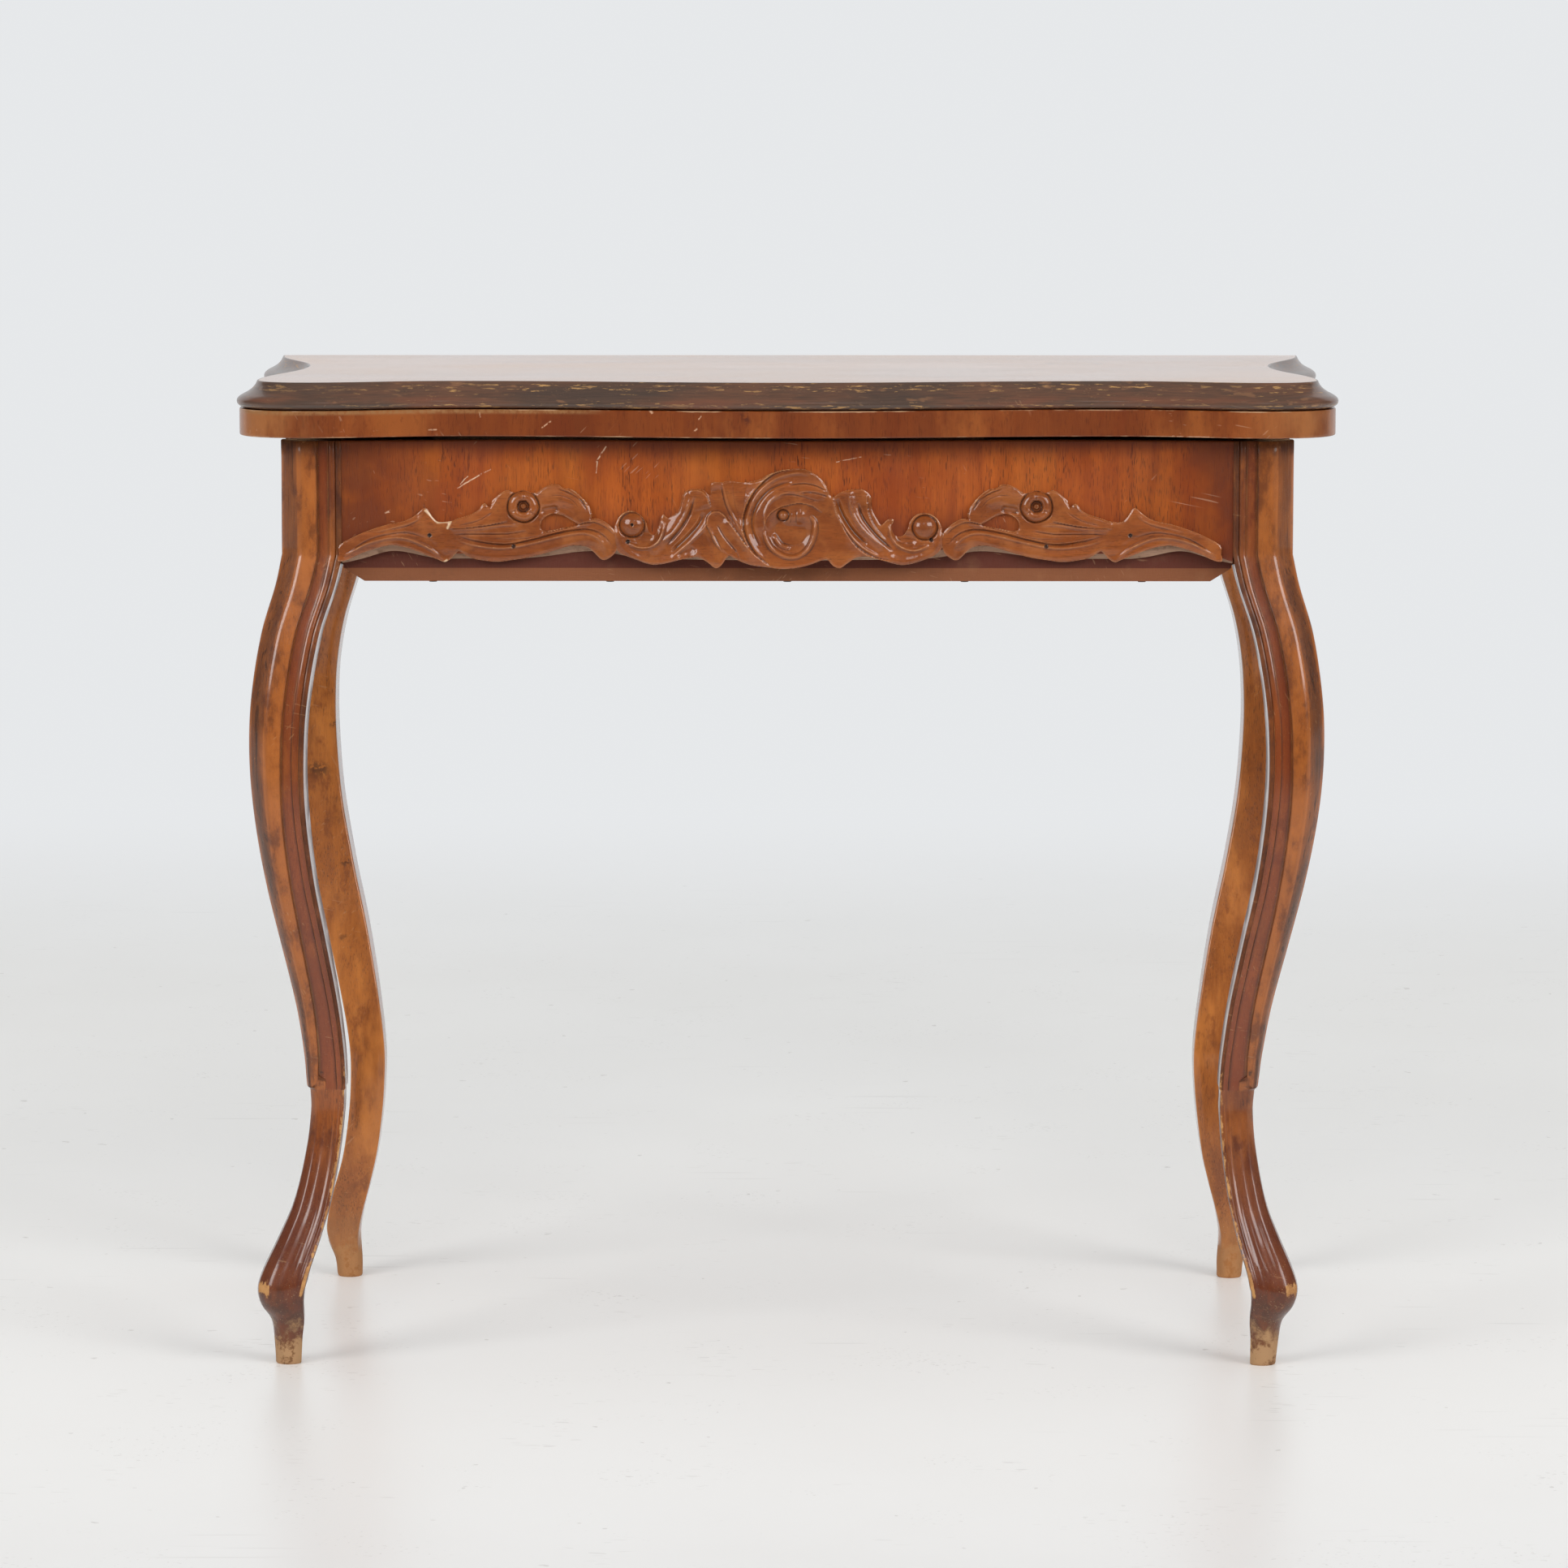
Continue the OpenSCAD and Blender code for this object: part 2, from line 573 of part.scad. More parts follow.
// Strips on the rails that the leaves glide over
module glide_strips() {
    strip_h = top_gap - running;
    color("darkolivegreen") translate([0, mid_y, frame_top]) {
        for (y = [-(core_front + core_back) / 2, (back_outer + back_inner) / 2])
            translate([-glide_l / 2 - glide_left, y - glide_w / 2, 0]) cube([glide_l, glide_w, strip_h]);
        for (x = [-1, 1]) translate([x * (side_inner + glide_w) - glide_w / 2, -glide_s / 2, 0])
            cube([glide_w, glide_s, strip_h]);
    }
}

// Cross rail that carries the pivot
module pivot_bearer() {
    color("burlywood") difference() {
        translate([pivot_x - bearer_w / 2, mid_y - core_back - housing, frame_top - bearer_t])
            cube([bearer_w, core_back + back_inner + 2 * housing, bearer_t]);
        translate([pivot_x, pivot_y, frame_top - bearer_t - 1])
            cylinder(d = bolt_d + 2 * bolt_fit, h = bearer_t + 2);
    }
}
module leather_washer() {
    color("saddlebrown") translate([pivot_x, pivot_y, frame_top]) difference() {
        cylinder(d = leather_d, h = top_gap - plate_t - running);
        translate([0, 0, -1]) cylinder(d = bolt_d + 1, h = top_gap + 2);
    }
}

// Lower leaf with its square edge
module lower_leaf() {
    color("firebrick") difference() {
        translate([0, leaf_back, leaf_under]) linear_extrude(leaf_t) polygon(whole_ring(lower_inset));
        hinge_pockets(-1);
        translate([pivot_x, pivot_y, leaf_under]) {
            for (p = plate_screw_places) translate([p.x, p.y, -1])
                cylinder(d = screw_d + 0.1, h = screw_l - plate_t + 1 + 0.1);
            translate([peg_x, -peg_x, -1]) cylinder(d = peg_d + 0.1, h = peg_seat + 1 + 0.1);
        }
    }
}

// Pivot under the lower leaf
plate_screw_pitch = plate_w / 2 - 9;
plate_screw_places = [for (x = [-1, 1], y = [-1, 1]) [x, y] * plate_screw_pitch];
sink = (screw_head - screw_d) / 2;
module pivot_plate() {
    color("dimgray") translate([pivot_x, pivot_y, leaf_under - plate_t]) difference() {
        translate([-plate_w / 2, -plate_w / 2, 0]) cube([plate_w, plate_w, plate_t]);
        translate([0, 0, -1]) cylinder(d = bolt_d + 0.1, h = plate_t + 2);
        for (p = plate_screw_places) translate([p.x, p.y, 0]) screw_sink();
    }
}
module screw_sink() {
    translate([0, 0, -eps]) cylinder(d1 = screw_head + 0.1, d2 = screw_d + 0.1, h = sink + eps);
    translate([0, 0, sink - eps]) cylinder(d = screw_d + 0.1, h = 10);
}
module screw() {
    cylinder(d1 = screw_head, d2 = screw_d, h = sink);
    translate([0, 0, sink]) cylinder(d = screw_d, h = screw_l - sink);
}
module plate_screws() {
    color("silver") translate([pivot_x, pivot_y, leaf_under - plate_t])
        for (p = plate_screw_places) translate([p.x, p.y, 0]) screw();
}
module pivot_bolt() {
    color("slategray") translate([pivot_x, pivot_y, bolt_low])
        cylinder(d = bolt_d, h = leaf_under - bolt_low);
}
module iron_washer() {
    color("gray") translate([pivot_x, pivot_y, frame_top - bearer_t - washer_t - running]) difference() {
        cylinder(d = washer_d, h = washer_t);
        translate([0, 0, -1]) cylinder(d = bolt_d + 0.1, h = washer_t + 2);
    }
}
module square_nut() {
    color("gray") translate([pivot_x, pivot_y, frame_top - bearer_t - washer_t - running - nut_h]) difference() {
        translate([-nut_w / 2, -nut_w / 2, 0]) cube([nut_w, nut_w, nut_h]);
        translate([0, 0, -1]) cylinder(d = bolt_d + 0.1, h = nut_h + 2);
    }
}
module stop_peg() {
    color("tan") translate([pivot_x + peg_x, pivot_y - peg_x, leaf_under - peg_drop])
        cylinder(d = peg_d, h = peg_drop + peg_seat);
}

// Hinges: the lower half has two outer knuckles, the upper half the middle one
knuckle_l = hinge_l / 3;
screw_rows = [-hinge_l * 0.36, 0, hinge_l * 0.36];
screw_drop = hinge_h * 0.62;
module hinge_pockets(side) {
    for (x = [-hinge_x, hinge_x]) translate([x, 0, 0]) {
        translate([-hinge_l / 2 - running, hinge_y, hinge_z]) rotate([0, 90, 0])
            cylinder(r = barrel_r + running, h = hinge_l + 2 * running);
        translate([-hinge_l / 2 - 0.05, leaf_back - hinge_t - 0.05, side < 0 ? hinge_z - hinge_h - 0.05 : hinge_z])
            cube([hinge_l + 0.1, hinge_t + 1, hinge_h + 0.05]);
        for (s = screw_rows) translate([s, leaf_back + 1, hinge_z + side * screw_drop]) rotate([90, 0, 0])
            cylinder(d = screw_d + 0.1, h = screw_l + 1 + 0.1);
    }
}
module knuckle(x0, x1) {
    translate([x0, hinge_y, hinge_z]) rotate([0, 90, 0]) cylinder(r = barrel_r, h = x1 - x0);
}
module hinge_half(side) {
    middle = knuckle_l / 2;
    end = hinge_l / 2;
    clear = barrel_r + running;
    blade_z = side < 0 ? hinge_z - hinge_h : hinge_z + clear;
    tab_z = side < 0 ? hinge_z - clear - 1 : hinge_z;
    tabs = side < 0 ? [[-end, -middle - running / 2], [middle + running / 2, end]]
        : [[running / 2 - middle, middle - running / 2]];
    difference() {
        union() {
            translate([-end, leaf_back - hinge_t, blade_z]) cube([hinge_l, hinge_t, hinge_h - clear]);
            for (t = tabs) {
                translate([t[0], leaf_back - hinge_t, tab_z]) cube([t[1] - t[0], hinge_t, clear + 1]);
                knuckle(t[0], t[1]);
            }
        }
        translate([-end - 1, hinge_y, hinge_z]) rotate([0, 90, 0])
            cylinder(d = pin_d + 2 * pin_fit, h = hinge_l + 2);
        for (s = screw_rows) translate([s, leaf_back, hinge_z + side * screw_drop]) rotate([90, 0, 0])
            screw_sink();
    }
}
module left_lower_hinge() { color("gold") translate([-hinge_x, 0, 0]) hinge_half(-1); }
module right_lower_hinge() { color("gold") translate([hinge_x, 0, 0]) hinge_half(-1); }
module left_upper_hinge() { color("gold") translate([-hinge_x, 0, 0]) hinge_half(1); }
module right_upper_hinge() { color("gold") translate([hinge_x, 0, 0]) hinge_half(1); }
module hinge_pin(x) {
    translate([x - hinge_l / 2, hinge_y, hinge_z]) rotate([0, 90, 0]) cylinder(d = pin_d, h = hinge_l);
}
module left_hinge_pin() { color("silver") hinge_pin(-hinge_x); }
module right_hinge_pin() { color("silver") hinge_pin(hinge_x); }
module hinge_screws(side) {
    for (x = [-hinge_x, hinge_x], s = screw_rows)
        translate([x + s, leaf_back, hinge_z + side * screw_drop]) rotate([90, 0, 0]) screw();
}
module lower_hinge_screws() { color("gold") hinge_screws(-1); }
module upper_hinge_screws() { color("gold") hinge_screws(1); }

// Upper leaf with its moulded edge
module upper_leaf() {
    color("brown") difference() {
        translate([0, leaf_back, 0])
            loft([for (k = [len(moulded_edge) - 1:-1:0])
                [for (p = whole_ring(moulded_edge[k].x)) [p.x, p.y, table_h - moulded_edge[k].y]]]);
        hinge_pockets(1);
    }
}

front_left_leg();
front_right_leg();
back_left_leg();
back_right_leg();
front_rail();
back_rail();
left_rail();
right_rail();
shaped_front();
centre_carving();
left_spray();
right_spray();
well_floor();
floor_nails();
corner_blocks();
glide_strips();
pivot_bearer();
leather_washer();
lower_leaf();
pivot_plate();
pivot_bolt();
iron_washer();
square_nut();
plate_screws();
stop_peg();
left_lower_hinge();
right_lower_hinge();
left_hinge_pin();
right_hinge_pin();
lower_hinge_screws();
upper_leaf();
left_upper_hinge();
right_upper_hinge();
upper_hinge_screws();
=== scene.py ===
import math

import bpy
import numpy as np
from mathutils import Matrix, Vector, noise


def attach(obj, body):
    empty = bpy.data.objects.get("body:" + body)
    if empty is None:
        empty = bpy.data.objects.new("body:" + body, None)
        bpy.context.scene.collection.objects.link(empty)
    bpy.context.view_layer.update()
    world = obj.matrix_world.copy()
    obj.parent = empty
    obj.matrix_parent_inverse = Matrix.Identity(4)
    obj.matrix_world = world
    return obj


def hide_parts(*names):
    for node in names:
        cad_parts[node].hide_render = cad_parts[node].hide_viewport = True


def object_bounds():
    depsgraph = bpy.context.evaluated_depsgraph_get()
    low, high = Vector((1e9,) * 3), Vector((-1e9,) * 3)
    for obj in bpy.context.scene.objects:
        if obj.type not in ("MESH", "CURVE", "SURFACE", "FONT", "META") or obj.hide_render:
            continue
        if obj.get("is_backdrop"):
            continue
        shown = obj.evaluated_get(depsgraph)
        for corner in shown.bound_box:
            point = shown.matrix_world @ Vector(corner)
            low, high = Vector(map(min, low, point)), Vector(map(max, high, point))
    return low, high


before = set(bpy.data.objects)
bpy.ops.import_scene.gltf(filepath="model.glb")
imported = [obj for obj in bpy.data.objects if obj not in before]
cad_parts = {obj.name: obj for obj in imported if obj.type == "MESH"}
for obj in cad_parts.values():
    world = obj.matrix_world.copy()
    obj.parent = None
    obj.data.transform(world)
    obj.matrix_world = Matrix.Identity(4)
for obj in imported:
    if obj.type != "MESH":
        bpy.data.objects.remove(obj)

# %% [markdown]
# # A games table from a plain frame to worn, polished wood
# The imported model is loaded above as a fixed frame. It has every piece of the table in its
# place: four legs, four rails, the shaped front, the carving, the card well, the swivel and
# the two folding leaves. This lesson gives each piece its real surface. Pieces whose forms
# are right keep their solids and get a material. Pieces whose forms need moulded edges,
# carving or wear are built again as finer meshes that ride on the same bodies.

scene = bpy.context.scene
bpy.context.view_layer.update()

# %% [markdown]
# ## The camera
# The table was taken with a long lens from almost five metres away and a little above its
# top. A long lens keeps the legs nearly upright and shows the top only as a thin band.
# The lens is written as a focal length in pixels of the picture and turned into the
# millimetres that Blender wants. The view transform is Standard, so colours come out as
# they are written.

# %% Camera
PICTURE = 1932
FOCAL = 7334.0
camera_data = bpy.data.cameras.new("camera")
camera_data.sensor_width = 36.0
camera_data.lens = FOCAL / PICTURE * camera_data.sensor_width
camera = bpy.data.objects.new("camera", camera_data)
camera.location = (0.026, -4.695, 1.013)
camera.rotation_euler = (math.radians(90 - 7.075), 0, math.radians(0.36))
scene.collection.objects.link(camera)
scene.camera = camera
scene.view_settings.view_transform = "Standard"
print("lens", round(camera_data.lens, 1), "mm")

# %% [markdown]
# ## Building blocks for meshes
# Almost every piece of this table is a stack of closed outlines: a leg is a stack of
# sections, and the moulded top is a stack of rings that step inward. One helper joins such
# rings with four-sided faces and closes the two ends. Sizes are written in millimetres, as
# a joiner would, and turned into metres when the mesh is made.

# %% Mesh helpers
MM = 0.001


def loft_faces(rings, count):
    """Faces between closed rings, with both ends closed. Each ring has count points."""
    faces = [tuple(reversed(range(count)))]
    for k in range(rings - 1):
        a, b = k * count, (k + 1) * count
        faces += [(a + i, a + (i + 1) % count, b + (i + 1) % count, b + i) for i in range(count)]
    faces.append(tuple((rings - 1) * count + i for i in range(count)))
    return faces


def new_mesh(name, points, faces, sharp=35):
    """An object from points in millimetres. Edges bent by more than sharp degrees stay crisp."""
    mesh = bpy.data.meshes.new(name)
    mesh.from_pydata((np.asarray(points, float) * MM).tolist(), [], [tuple(f) for f in faces])
    mesh.validate()
    mesh.shade_smooth()
    mesh.set_sharp_from_angle(angle=math.radians(sharp))
    made = bpy.data.objects.new(name, mesh)
    scene.collection.objects.link(made)
    return made


def dressed(made, *materials):
    """Fills an object's material slots."""
    made.data.materials.clear()
    for material in materials:
        made.data.materials.append(material)
    return made


def keep(made, label, values):
    """Writes a number for each point, for the materials to read."""
    layer = made.data.attributes.new(label, "FLOAT", "POINT")
    layer.data.foreach_set("value", np.asarray(values, np.float32))


def fit(made, body, node):
    """Lets a finished mesh ride on its body and stand for the frame's own node."""
    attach(made, body)
    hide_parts(node)
    print(made.name, len(made.data.polygons), "faces, rides on", body)
    return made


def ramp(value, start, end):
    """How far a value has come from start to end, held at 0 and 1."""
    return float(np.clip((value - start) / (end - start), 0, 1))


def ease(t):
    return (1 - math.cos(math.pi * t)) / 2


def waver(x, y, z):
    """Smooth unevenness round zero."""
    return noise.noise(Vector((x, y, z)))


def between(a, b, c, d, t):
    """A point from b to c on the smooth curve that passes through a, b, c and d."""
    return (0.5 * (2 * b + (c - a) * t + (2 * a - 5 * b + 4 * c - d) * t ** 2
                   + (3 * b - a - 3 * c + d) * t ** 3))


# %% [markdown]
# Wood wears where it stands proud and gathers dirt where it is hollow, and some materials
# also paint a highlight on proud edges and shade into hollows. Both follow from how much a
# surface bends, so each mesh measures its own bend once, point by point, and keeps it as two
# attributes that the materials read: crest for proud edges and hollow for quirks.

# %% Measuring crests and hollows
def mark_bends(made, rounds=2, gain=1.0):
    mesh = made.data
    count = len(mesh.vertices)
    place, normal = np.empty((count, 3)), np.empty((count, 3))
    mesh.vertices.foreach_get("co", place.ravel())
    mesh.vertices.foreach_get("normal", normal.ravel())
    edges = np.empty(len(mesh.edges) * 2, int)
    mesh.edges.foreach_get("vertices", edges)
    a, b = edges.reshape(-1, 2).T
    degree = np.bincount(a, minlength=count) + np.bincount(b, minlength=count)
    degree = np.maximum(degree, 1)
    gap = place[b] - place[a]
    length = np.linalg.norm(gap, axis=1) + 1e-9
    rise = np.einsum("ij,ij->i", gap, normal[a]) / length
    fall = np.einsum("ij,ij->i", -gap, normal[b]) / length
    bend = -(np.bincount(a, rise, count) + np.bincount(b, fall, count)) / degree
    for _ in range(rounds):
        spread = np.bincount(a, bend[b], count) + np.bincount(b, bend[a], count)
        bend = 0.5 * bend + 0.5 * spread / degree
    for label, value in (("crest", bend), ("hollow", -bend)):
        keep(made, label, np.clip(value * gain * 4, 0, 1))
    return made


# %% Cutting pockets
def box_points(low, high):
    return [(x, y, z)
            for x in (low[0], high[0]) for y in (low[1], high[1]) for z in (low[2], high[2])]


BOX_FACES = [(0, 1, 3, 2), (4, 6, 7, 5), (0, 4, 5, 1), (2, 3, 7, 6), (0, 2, 6, 4), (1, 5, 7, 3)]


def carve_out(made, cutters):
    """Cuts each cutter's shape out of a mesh and removes the cutter."""
    for cutter in cutters:
        step = made.modifiers.new("pocket", "BOOLEAN")
        step.operation = "DIFFERENCE"
        step.solver = "EXACT"
        step.object = cutter
    bpy.context.view_layer.update()
    graph = bpy.context.evaluated_depsgraph_get()
    done = bpy.data.meshes.new_from_object(made.evaluated_get(graph))
    made.modifiers.clear()
    made.data = done
    for cutter in cutters:
        bpy.data.objects.remove(cutter)
    return made

# %% [markdown]
# ## Building blocks for materials
# Materials are made of nodes. What a node gives out is kept here as a Value, and Values are
# added and multiplied like numbers, with a node made for each sum. The bench holds the tree
# that is being worked on, so the helpers don't have to be told. Effects that several woods
# share, such as grain, worn edges, grime with painted shade in hollows, and scratches, are
# node groups with named inputs, so that each material can use them with its own values.

# %% Node helpers
bench = {}


class Value:
    """What a node gives out."""
    def __init__(self, socket):
        self.socket = socket

    def __add__(self, other):
        return sums("ADD", self, other)

    def __mul__(self, other):
        return sums("MULTIPLY", self, other)

    def __sub__(self, other):
        return sums("SUBTRACT", self, other)

    def __rsub__(self, other):
        return sums("SUBTRACT", other, self)

    def __abs__(self):
        return sums("ABSOLUTE", self)


def connect(value, socket):
    """Links a Value to an input, or writes a plain number, vector or colour there."""
    if isinstance(value, Value):
        bench["tree"].links.new(value.socket, socket)
    elif socket.type == "RGBA":
        socket.default_value = (*value[:3], 1)
    else:
        socket.default_value = value


def node(kind, inputs=None, **settings):
    made = bench["tree"].nodes.new(kind)
    for key, value in settings.items():
        setattr(made, key, value)
    for key, value in (inputs or {}).items():
        connect(value, made.inputs[key])
    return made


def put(kind, inputs=None, give=0, **settings):
    """A new node's output, by its place or name."""
    return Value(node(kind, inputs, **settings).outputs[give])


def sums(kind, first, second=0.0, clamp=False):
    return put("ShaderNodeMath", {0: first, 1: second}, operation=kind, use_clamp=clamp)


def most(first, *others):
    for other in others:
        first = sums("MAXIMUM", first, other)
    return first


def vectors(kind, first, second=(0, 0, 0), scale=1.0):
    """Sum of vectors. A length or a dot product comes out as a number."""
    give = 1 if kind in ("DOT_PRODUCT", "LENGTH") else 0
    return put("ShaderNodeVectorMath", {0: first, 1: second, 3: scale}, give, operation=kind)


def mixed(share, first, second):
    """Colour between first and second."""
    return put("ShaderNodeMix", {0: share, 6: first, 7: second}, 2, data_type="RGBA",
               clamp_factor=True)


def spread(value, low, high, new_low=0.0, new_high=1.0):
    """Value between low and high, eased to a new range and held at its ends."""
    return put("ShaderNodeMapRange", {0: value, 1: low, 2: high, 3: new_low, 4: new_high},
               interpolation_type="SMOOTHSTEP")


def stretched(vector, scale, place=(0, 0, 0), turn=(0, 0, 0)):
    return put("ShaderNodeMapping", {"Vector": vector, "Location": place, "Rotation": turn,
                                     "Scale": scale})


def speckle(vector, scale, detail=2.0, rough=0.5, bend=0.0, give=0):
    """A noise value round 0.5."""
    return put("ShaderNodeTexNoise", {"Vector": vector, "Scale": scale, "Detail": detail,
                                      "Roughness": rough, "Distortion": bend}, give)


def attribute(label):
    return put("ShaderNodeAttribute", give="Fac", attribute_name=label)


def axes(vector):
    split = node("ShaderNodeSeparateXYZ", {0: vector})
    return [Value(socket) for socket in split.outputs]


def joined(x, y, z):
    return put("ShaderNodeCombineXYZ", {0: x, 1: y, 2: z})


def group(name, **inputs):
    """A new node group on the bench, and its inputs as Values. A name's _ stands for a space."""
    tree = bench["tree"] = bpy.data.node_groups.new(name, "ShaderNodeTree")
    for key, value in inputs.items():
        size = 1 if isinstance(value, float) else len(value or "xyz")
        kind = {1: "Float", 3: "Vector", 4: "Color"}[size]
        socket = tree.interface.new_socket(key.replace("_", " "), in_out="INPUT",
                                           socket_type="NodeSocket" + kind)
        if value is not None:
            socket.default_value = value
    source = node("NodeGroupInput")
    return [tree, *(Value(socket) for socket in source.outputs[:len(inputs)])]


def give_out(**outputs):
    """Names and links what the group on the bench gives out."""
    for key, value in outputs.items():
        kind = "Color" if value.socket.type == "RGBA" else "Float"
        bench["tree"].interface.new_socket(key, in_out="OUTPUT", socket_type="NodeSocket" + kind)
    node("NodeGroupOutput", outputs)


def use(shared, **inputs):
    """Places a node group in a material and gives its outputs by name."""
    made = node("ShaderNodeGroup", node_tree=shared)
    for key, value in {"Vector": bench.get("place"), **inputs}.items():
        connect(value, made.inputs[key.replace("_", " ")])
    return {socket.name: Value(socket) for socket in made.outputs}


# %% [markdown]
# ### Grain
# Timber has three kinds of mark, all drawn out along the grain: a broad figure from the
# growth rings, streaks of a few millimetres, and pores as short dark dashes. A noise that
# is squeezed along the grain gives each of them. The group expects a vector in metres
# whose Z runs along the grain.

# %% Grain group
GRAIN, vector, light, dark, amount, scale, streaks, pores, pore_scale = group(
    "grain", Vector=None, Light=(0.4, 0.15, 0.04, 1), Dark=(0.15, 0.05, 0.02, 1), Figure=0.6,
    Figure_Scale=30.0, Streaks=0.3, Pores=0.5, Pore_Scale=1500.0)
broad = speckle(stretched(vector, (1, 1, 0.09)), scale, 4.0, 0.6, 0.6)
narrow = speckle(stretched(vector, (1, 1, 0.035), (0.3, 0.1, 0)), scale * 11.0, 3.0, 0.6)
tone = mixed(1.0 - spread(broad, 0.32, 0.68) * amount, dark, light)
tone = mixed(spread(narrow, 0.35, 0.7) * streaks, tone, mixed(0.6, tone, dark))
dash = speckle(stretched(vector, (1, 1, 0.09), (0, 0.7, 0.2)), pore_scale, 1.0, 0.4)
where = spread(speckle(stretched(vector, (1, 1, 0.1)), 90.0, 1.0), 0.3, 0.6, 0.25, 1.0)
pore = spread(dash, 0.56, 0.68) * where * pores
tone = mixed(pore, tone, mixed(0.85, tone, (0.02, 0.008, 0.004)))
give_out(Color=tone, Height=narrow * 0.35 - pore)

# %% [markdown]
# ### Wear, grime with painted shade, and scratches
# Polish rubs away at proud edges in broken patches. Dirt stays in the hollows, and the same
# mask paints shade into them. Long use leaves hairlines that run any way, and a few deep
# scratches that each have a place.

# %% Wear group, and a grime group that also paints shade in hollows
WEAR, vector, crest, amount, scale, drawn = group(
    "worn edges", Vector=None, Crest=0.0, Amount=0.5, Scale=120.0, Drawn=(1, 1, 1))
broken = speckle(vectors("MULTIPLY", vector, drawn), scale, 5.0, 0.65)
proud = crest + (broken - 0.5) * 1.7
give_out(Mask=spread(proud - (1.15 - amount), -0.06, 0.14))

GRIME_AND_SHADE, vector, hollow, amount, scale = group(
    "grime_and_shade", Vector=None, Hollow=0.0, Amount=0.5, Scale=60.0)
cloud = speckle(vector, scale, 4.0, 0.6)
fine = speckle(vector, scale * 9.0, 2.0, 0.6)
# Dirt held in the hollows, which also paints shade there.
hollow_dirt_and_shade = spread(hollow, 0.05, 0.75) * spread(cloud, 0.25, 0.6, 0.35, 1.0)
film = spread(cloud, 0.5, 0.8) * spread(fine, 0.35, 0.7, 0.1, 0.5)
give_out(Mask=sums("MULTIPLY", most(hollow_dirt_and_shade, film), amount, clamp=True))

# %% Hairline and scratch groups
HAIRLINES, vector, scale, amount = group("hairlines", Vector=None, Scale=900.0, Amount=0.5)
marks = []
for lean, seed in ((0.5, 1.0), (-0.75, 4.0), (1.35, 9.0)):
    leaning = stretched(vector, (1, 1, 1), (seed, 0, seed), (lean * 0.3, lean, lean * 0.5))
    line = speckle(stretched(leaning, (1, 1, 0.035)), scale, 0.0)
    gate = speckle(leaning, scale * 0.03, 1.0)
    marks.append(spread(line, 0.74, 0.78) * spread(gate, 0.6, 0.68))
give_out(Mask=most(*marks) * amount)

SCRATCH, vector, start, end, width = group(
    "one scratch", Vector=None, From=(0, 0, 0), To=(0, 0, 1), Width=0.0006)
wobble = vectors("SUBTRACT", speckle(vector, 90.0, give=1), (0.5, 0.5, 0.5))
wobble = vectors("SCALE", wobble, scale=0.003)
point = vectors("SUBTRACT", vectors("ADD", vector, wobble), start)
way = vectors("SUBTRACT", end, start)
share = sums("DIVIDE", vectors("DOT_PRODUCT", point, way), vectors("DOT_PRODUCT", way, way),
             clamp=True)
off = vectors("LENGTH", vectors("SUBTRACT", point, vectors("SCALE", way, scale=share)))
gaps = spread(speckle(vector, 400.0), 0.36, 0.5)
give_out(Mask=spread(off, width, 0.0) * gaps)
print("groups", [shared.name for shared in bpy.data.node_groups])

# %% [markdown]
# ## Materials
# Each finish starts with a Principled shader. What is the same all over a surface, such as
# its coat or its sheen, is set on the shader itself. What changes over the surface, such as
# colour, roughness and fine relief, comes through nodes. Object coordinates are metres
# here, so a noise scale of 100 makes marks of about a centimetre, and the pattern stays on
# its piece when the piece turns or folds.

# %% Starting a finish
def finish(name, coat=0.0, coat_rough=0.2, metal=0.0, specular=0.5):
    """Puts a new material on the bench and gives it with its coordinates."""
    made = bpy.data.materials.new(name)
    made.use_nodes = True
    bench["tree"] = made.node_tree
    made.node_tree.nodes.clear()
    bench["shader"] = node("ShaderNodeBsdfPrincipled", {
        "Metallic": metal, "Coat Weight": coat, "Coat Roughness": coat_rough,
        "Specular IOR Level": specular})
    bench["out"] = node("ShaderNodeOutputMaterial").inputs[0]
    connect(Value(bench["shader"].outputs[0]), bench["out"])
    bench["place"] = put("ShaderNodeTexCoord", give="Object")
    return made, bench["place"]


def feed(key, value):
    connect(value, bench["shader"].inputs[key])


def lay(colour, rough, height, strength=0.4, depth=0.0004):
    """Feeds colour, roughness and relief to the shader."""
    feed("Base Color", colour)
    feed("Roughness", rough)
    feed("Normal", put("ShaderNodeBump", {"Strength": strength, "Distance": depth,
                                          "Height": height}))


def scratched(vector, lines):
    """One mask from several scratches, each (from, to, width) in metres."""
    return most(*(use(SCRATCH, Vector=vector, From=start, To=end, Width=width)["Mask"]
                  for start, end, width in lines))


def hairlines(amount, scale=700.0):
    return use(HAIRLINES, Scale=scale, Amount=amount)["Mask"]


# Grime mask: dirt and painted shade in the hollows, with a film of grime.
def grime_and_shade(amount, scale):
    return use(GRIME_AND_SHADE, Hollow=attribute("hollow"), Amount=amount, Scale=scale)["Mask"]


def worn_edges(amount, scale, drawn=(1, 1, 1), strength=1.0):
    """Rubbed crests, in patches drawn out along an axis."""
    return use(WEAR, Crest=attribute("crest") * strength, Amount=amount, Scale=scale,
               Drawn=drawn)["Mask"]
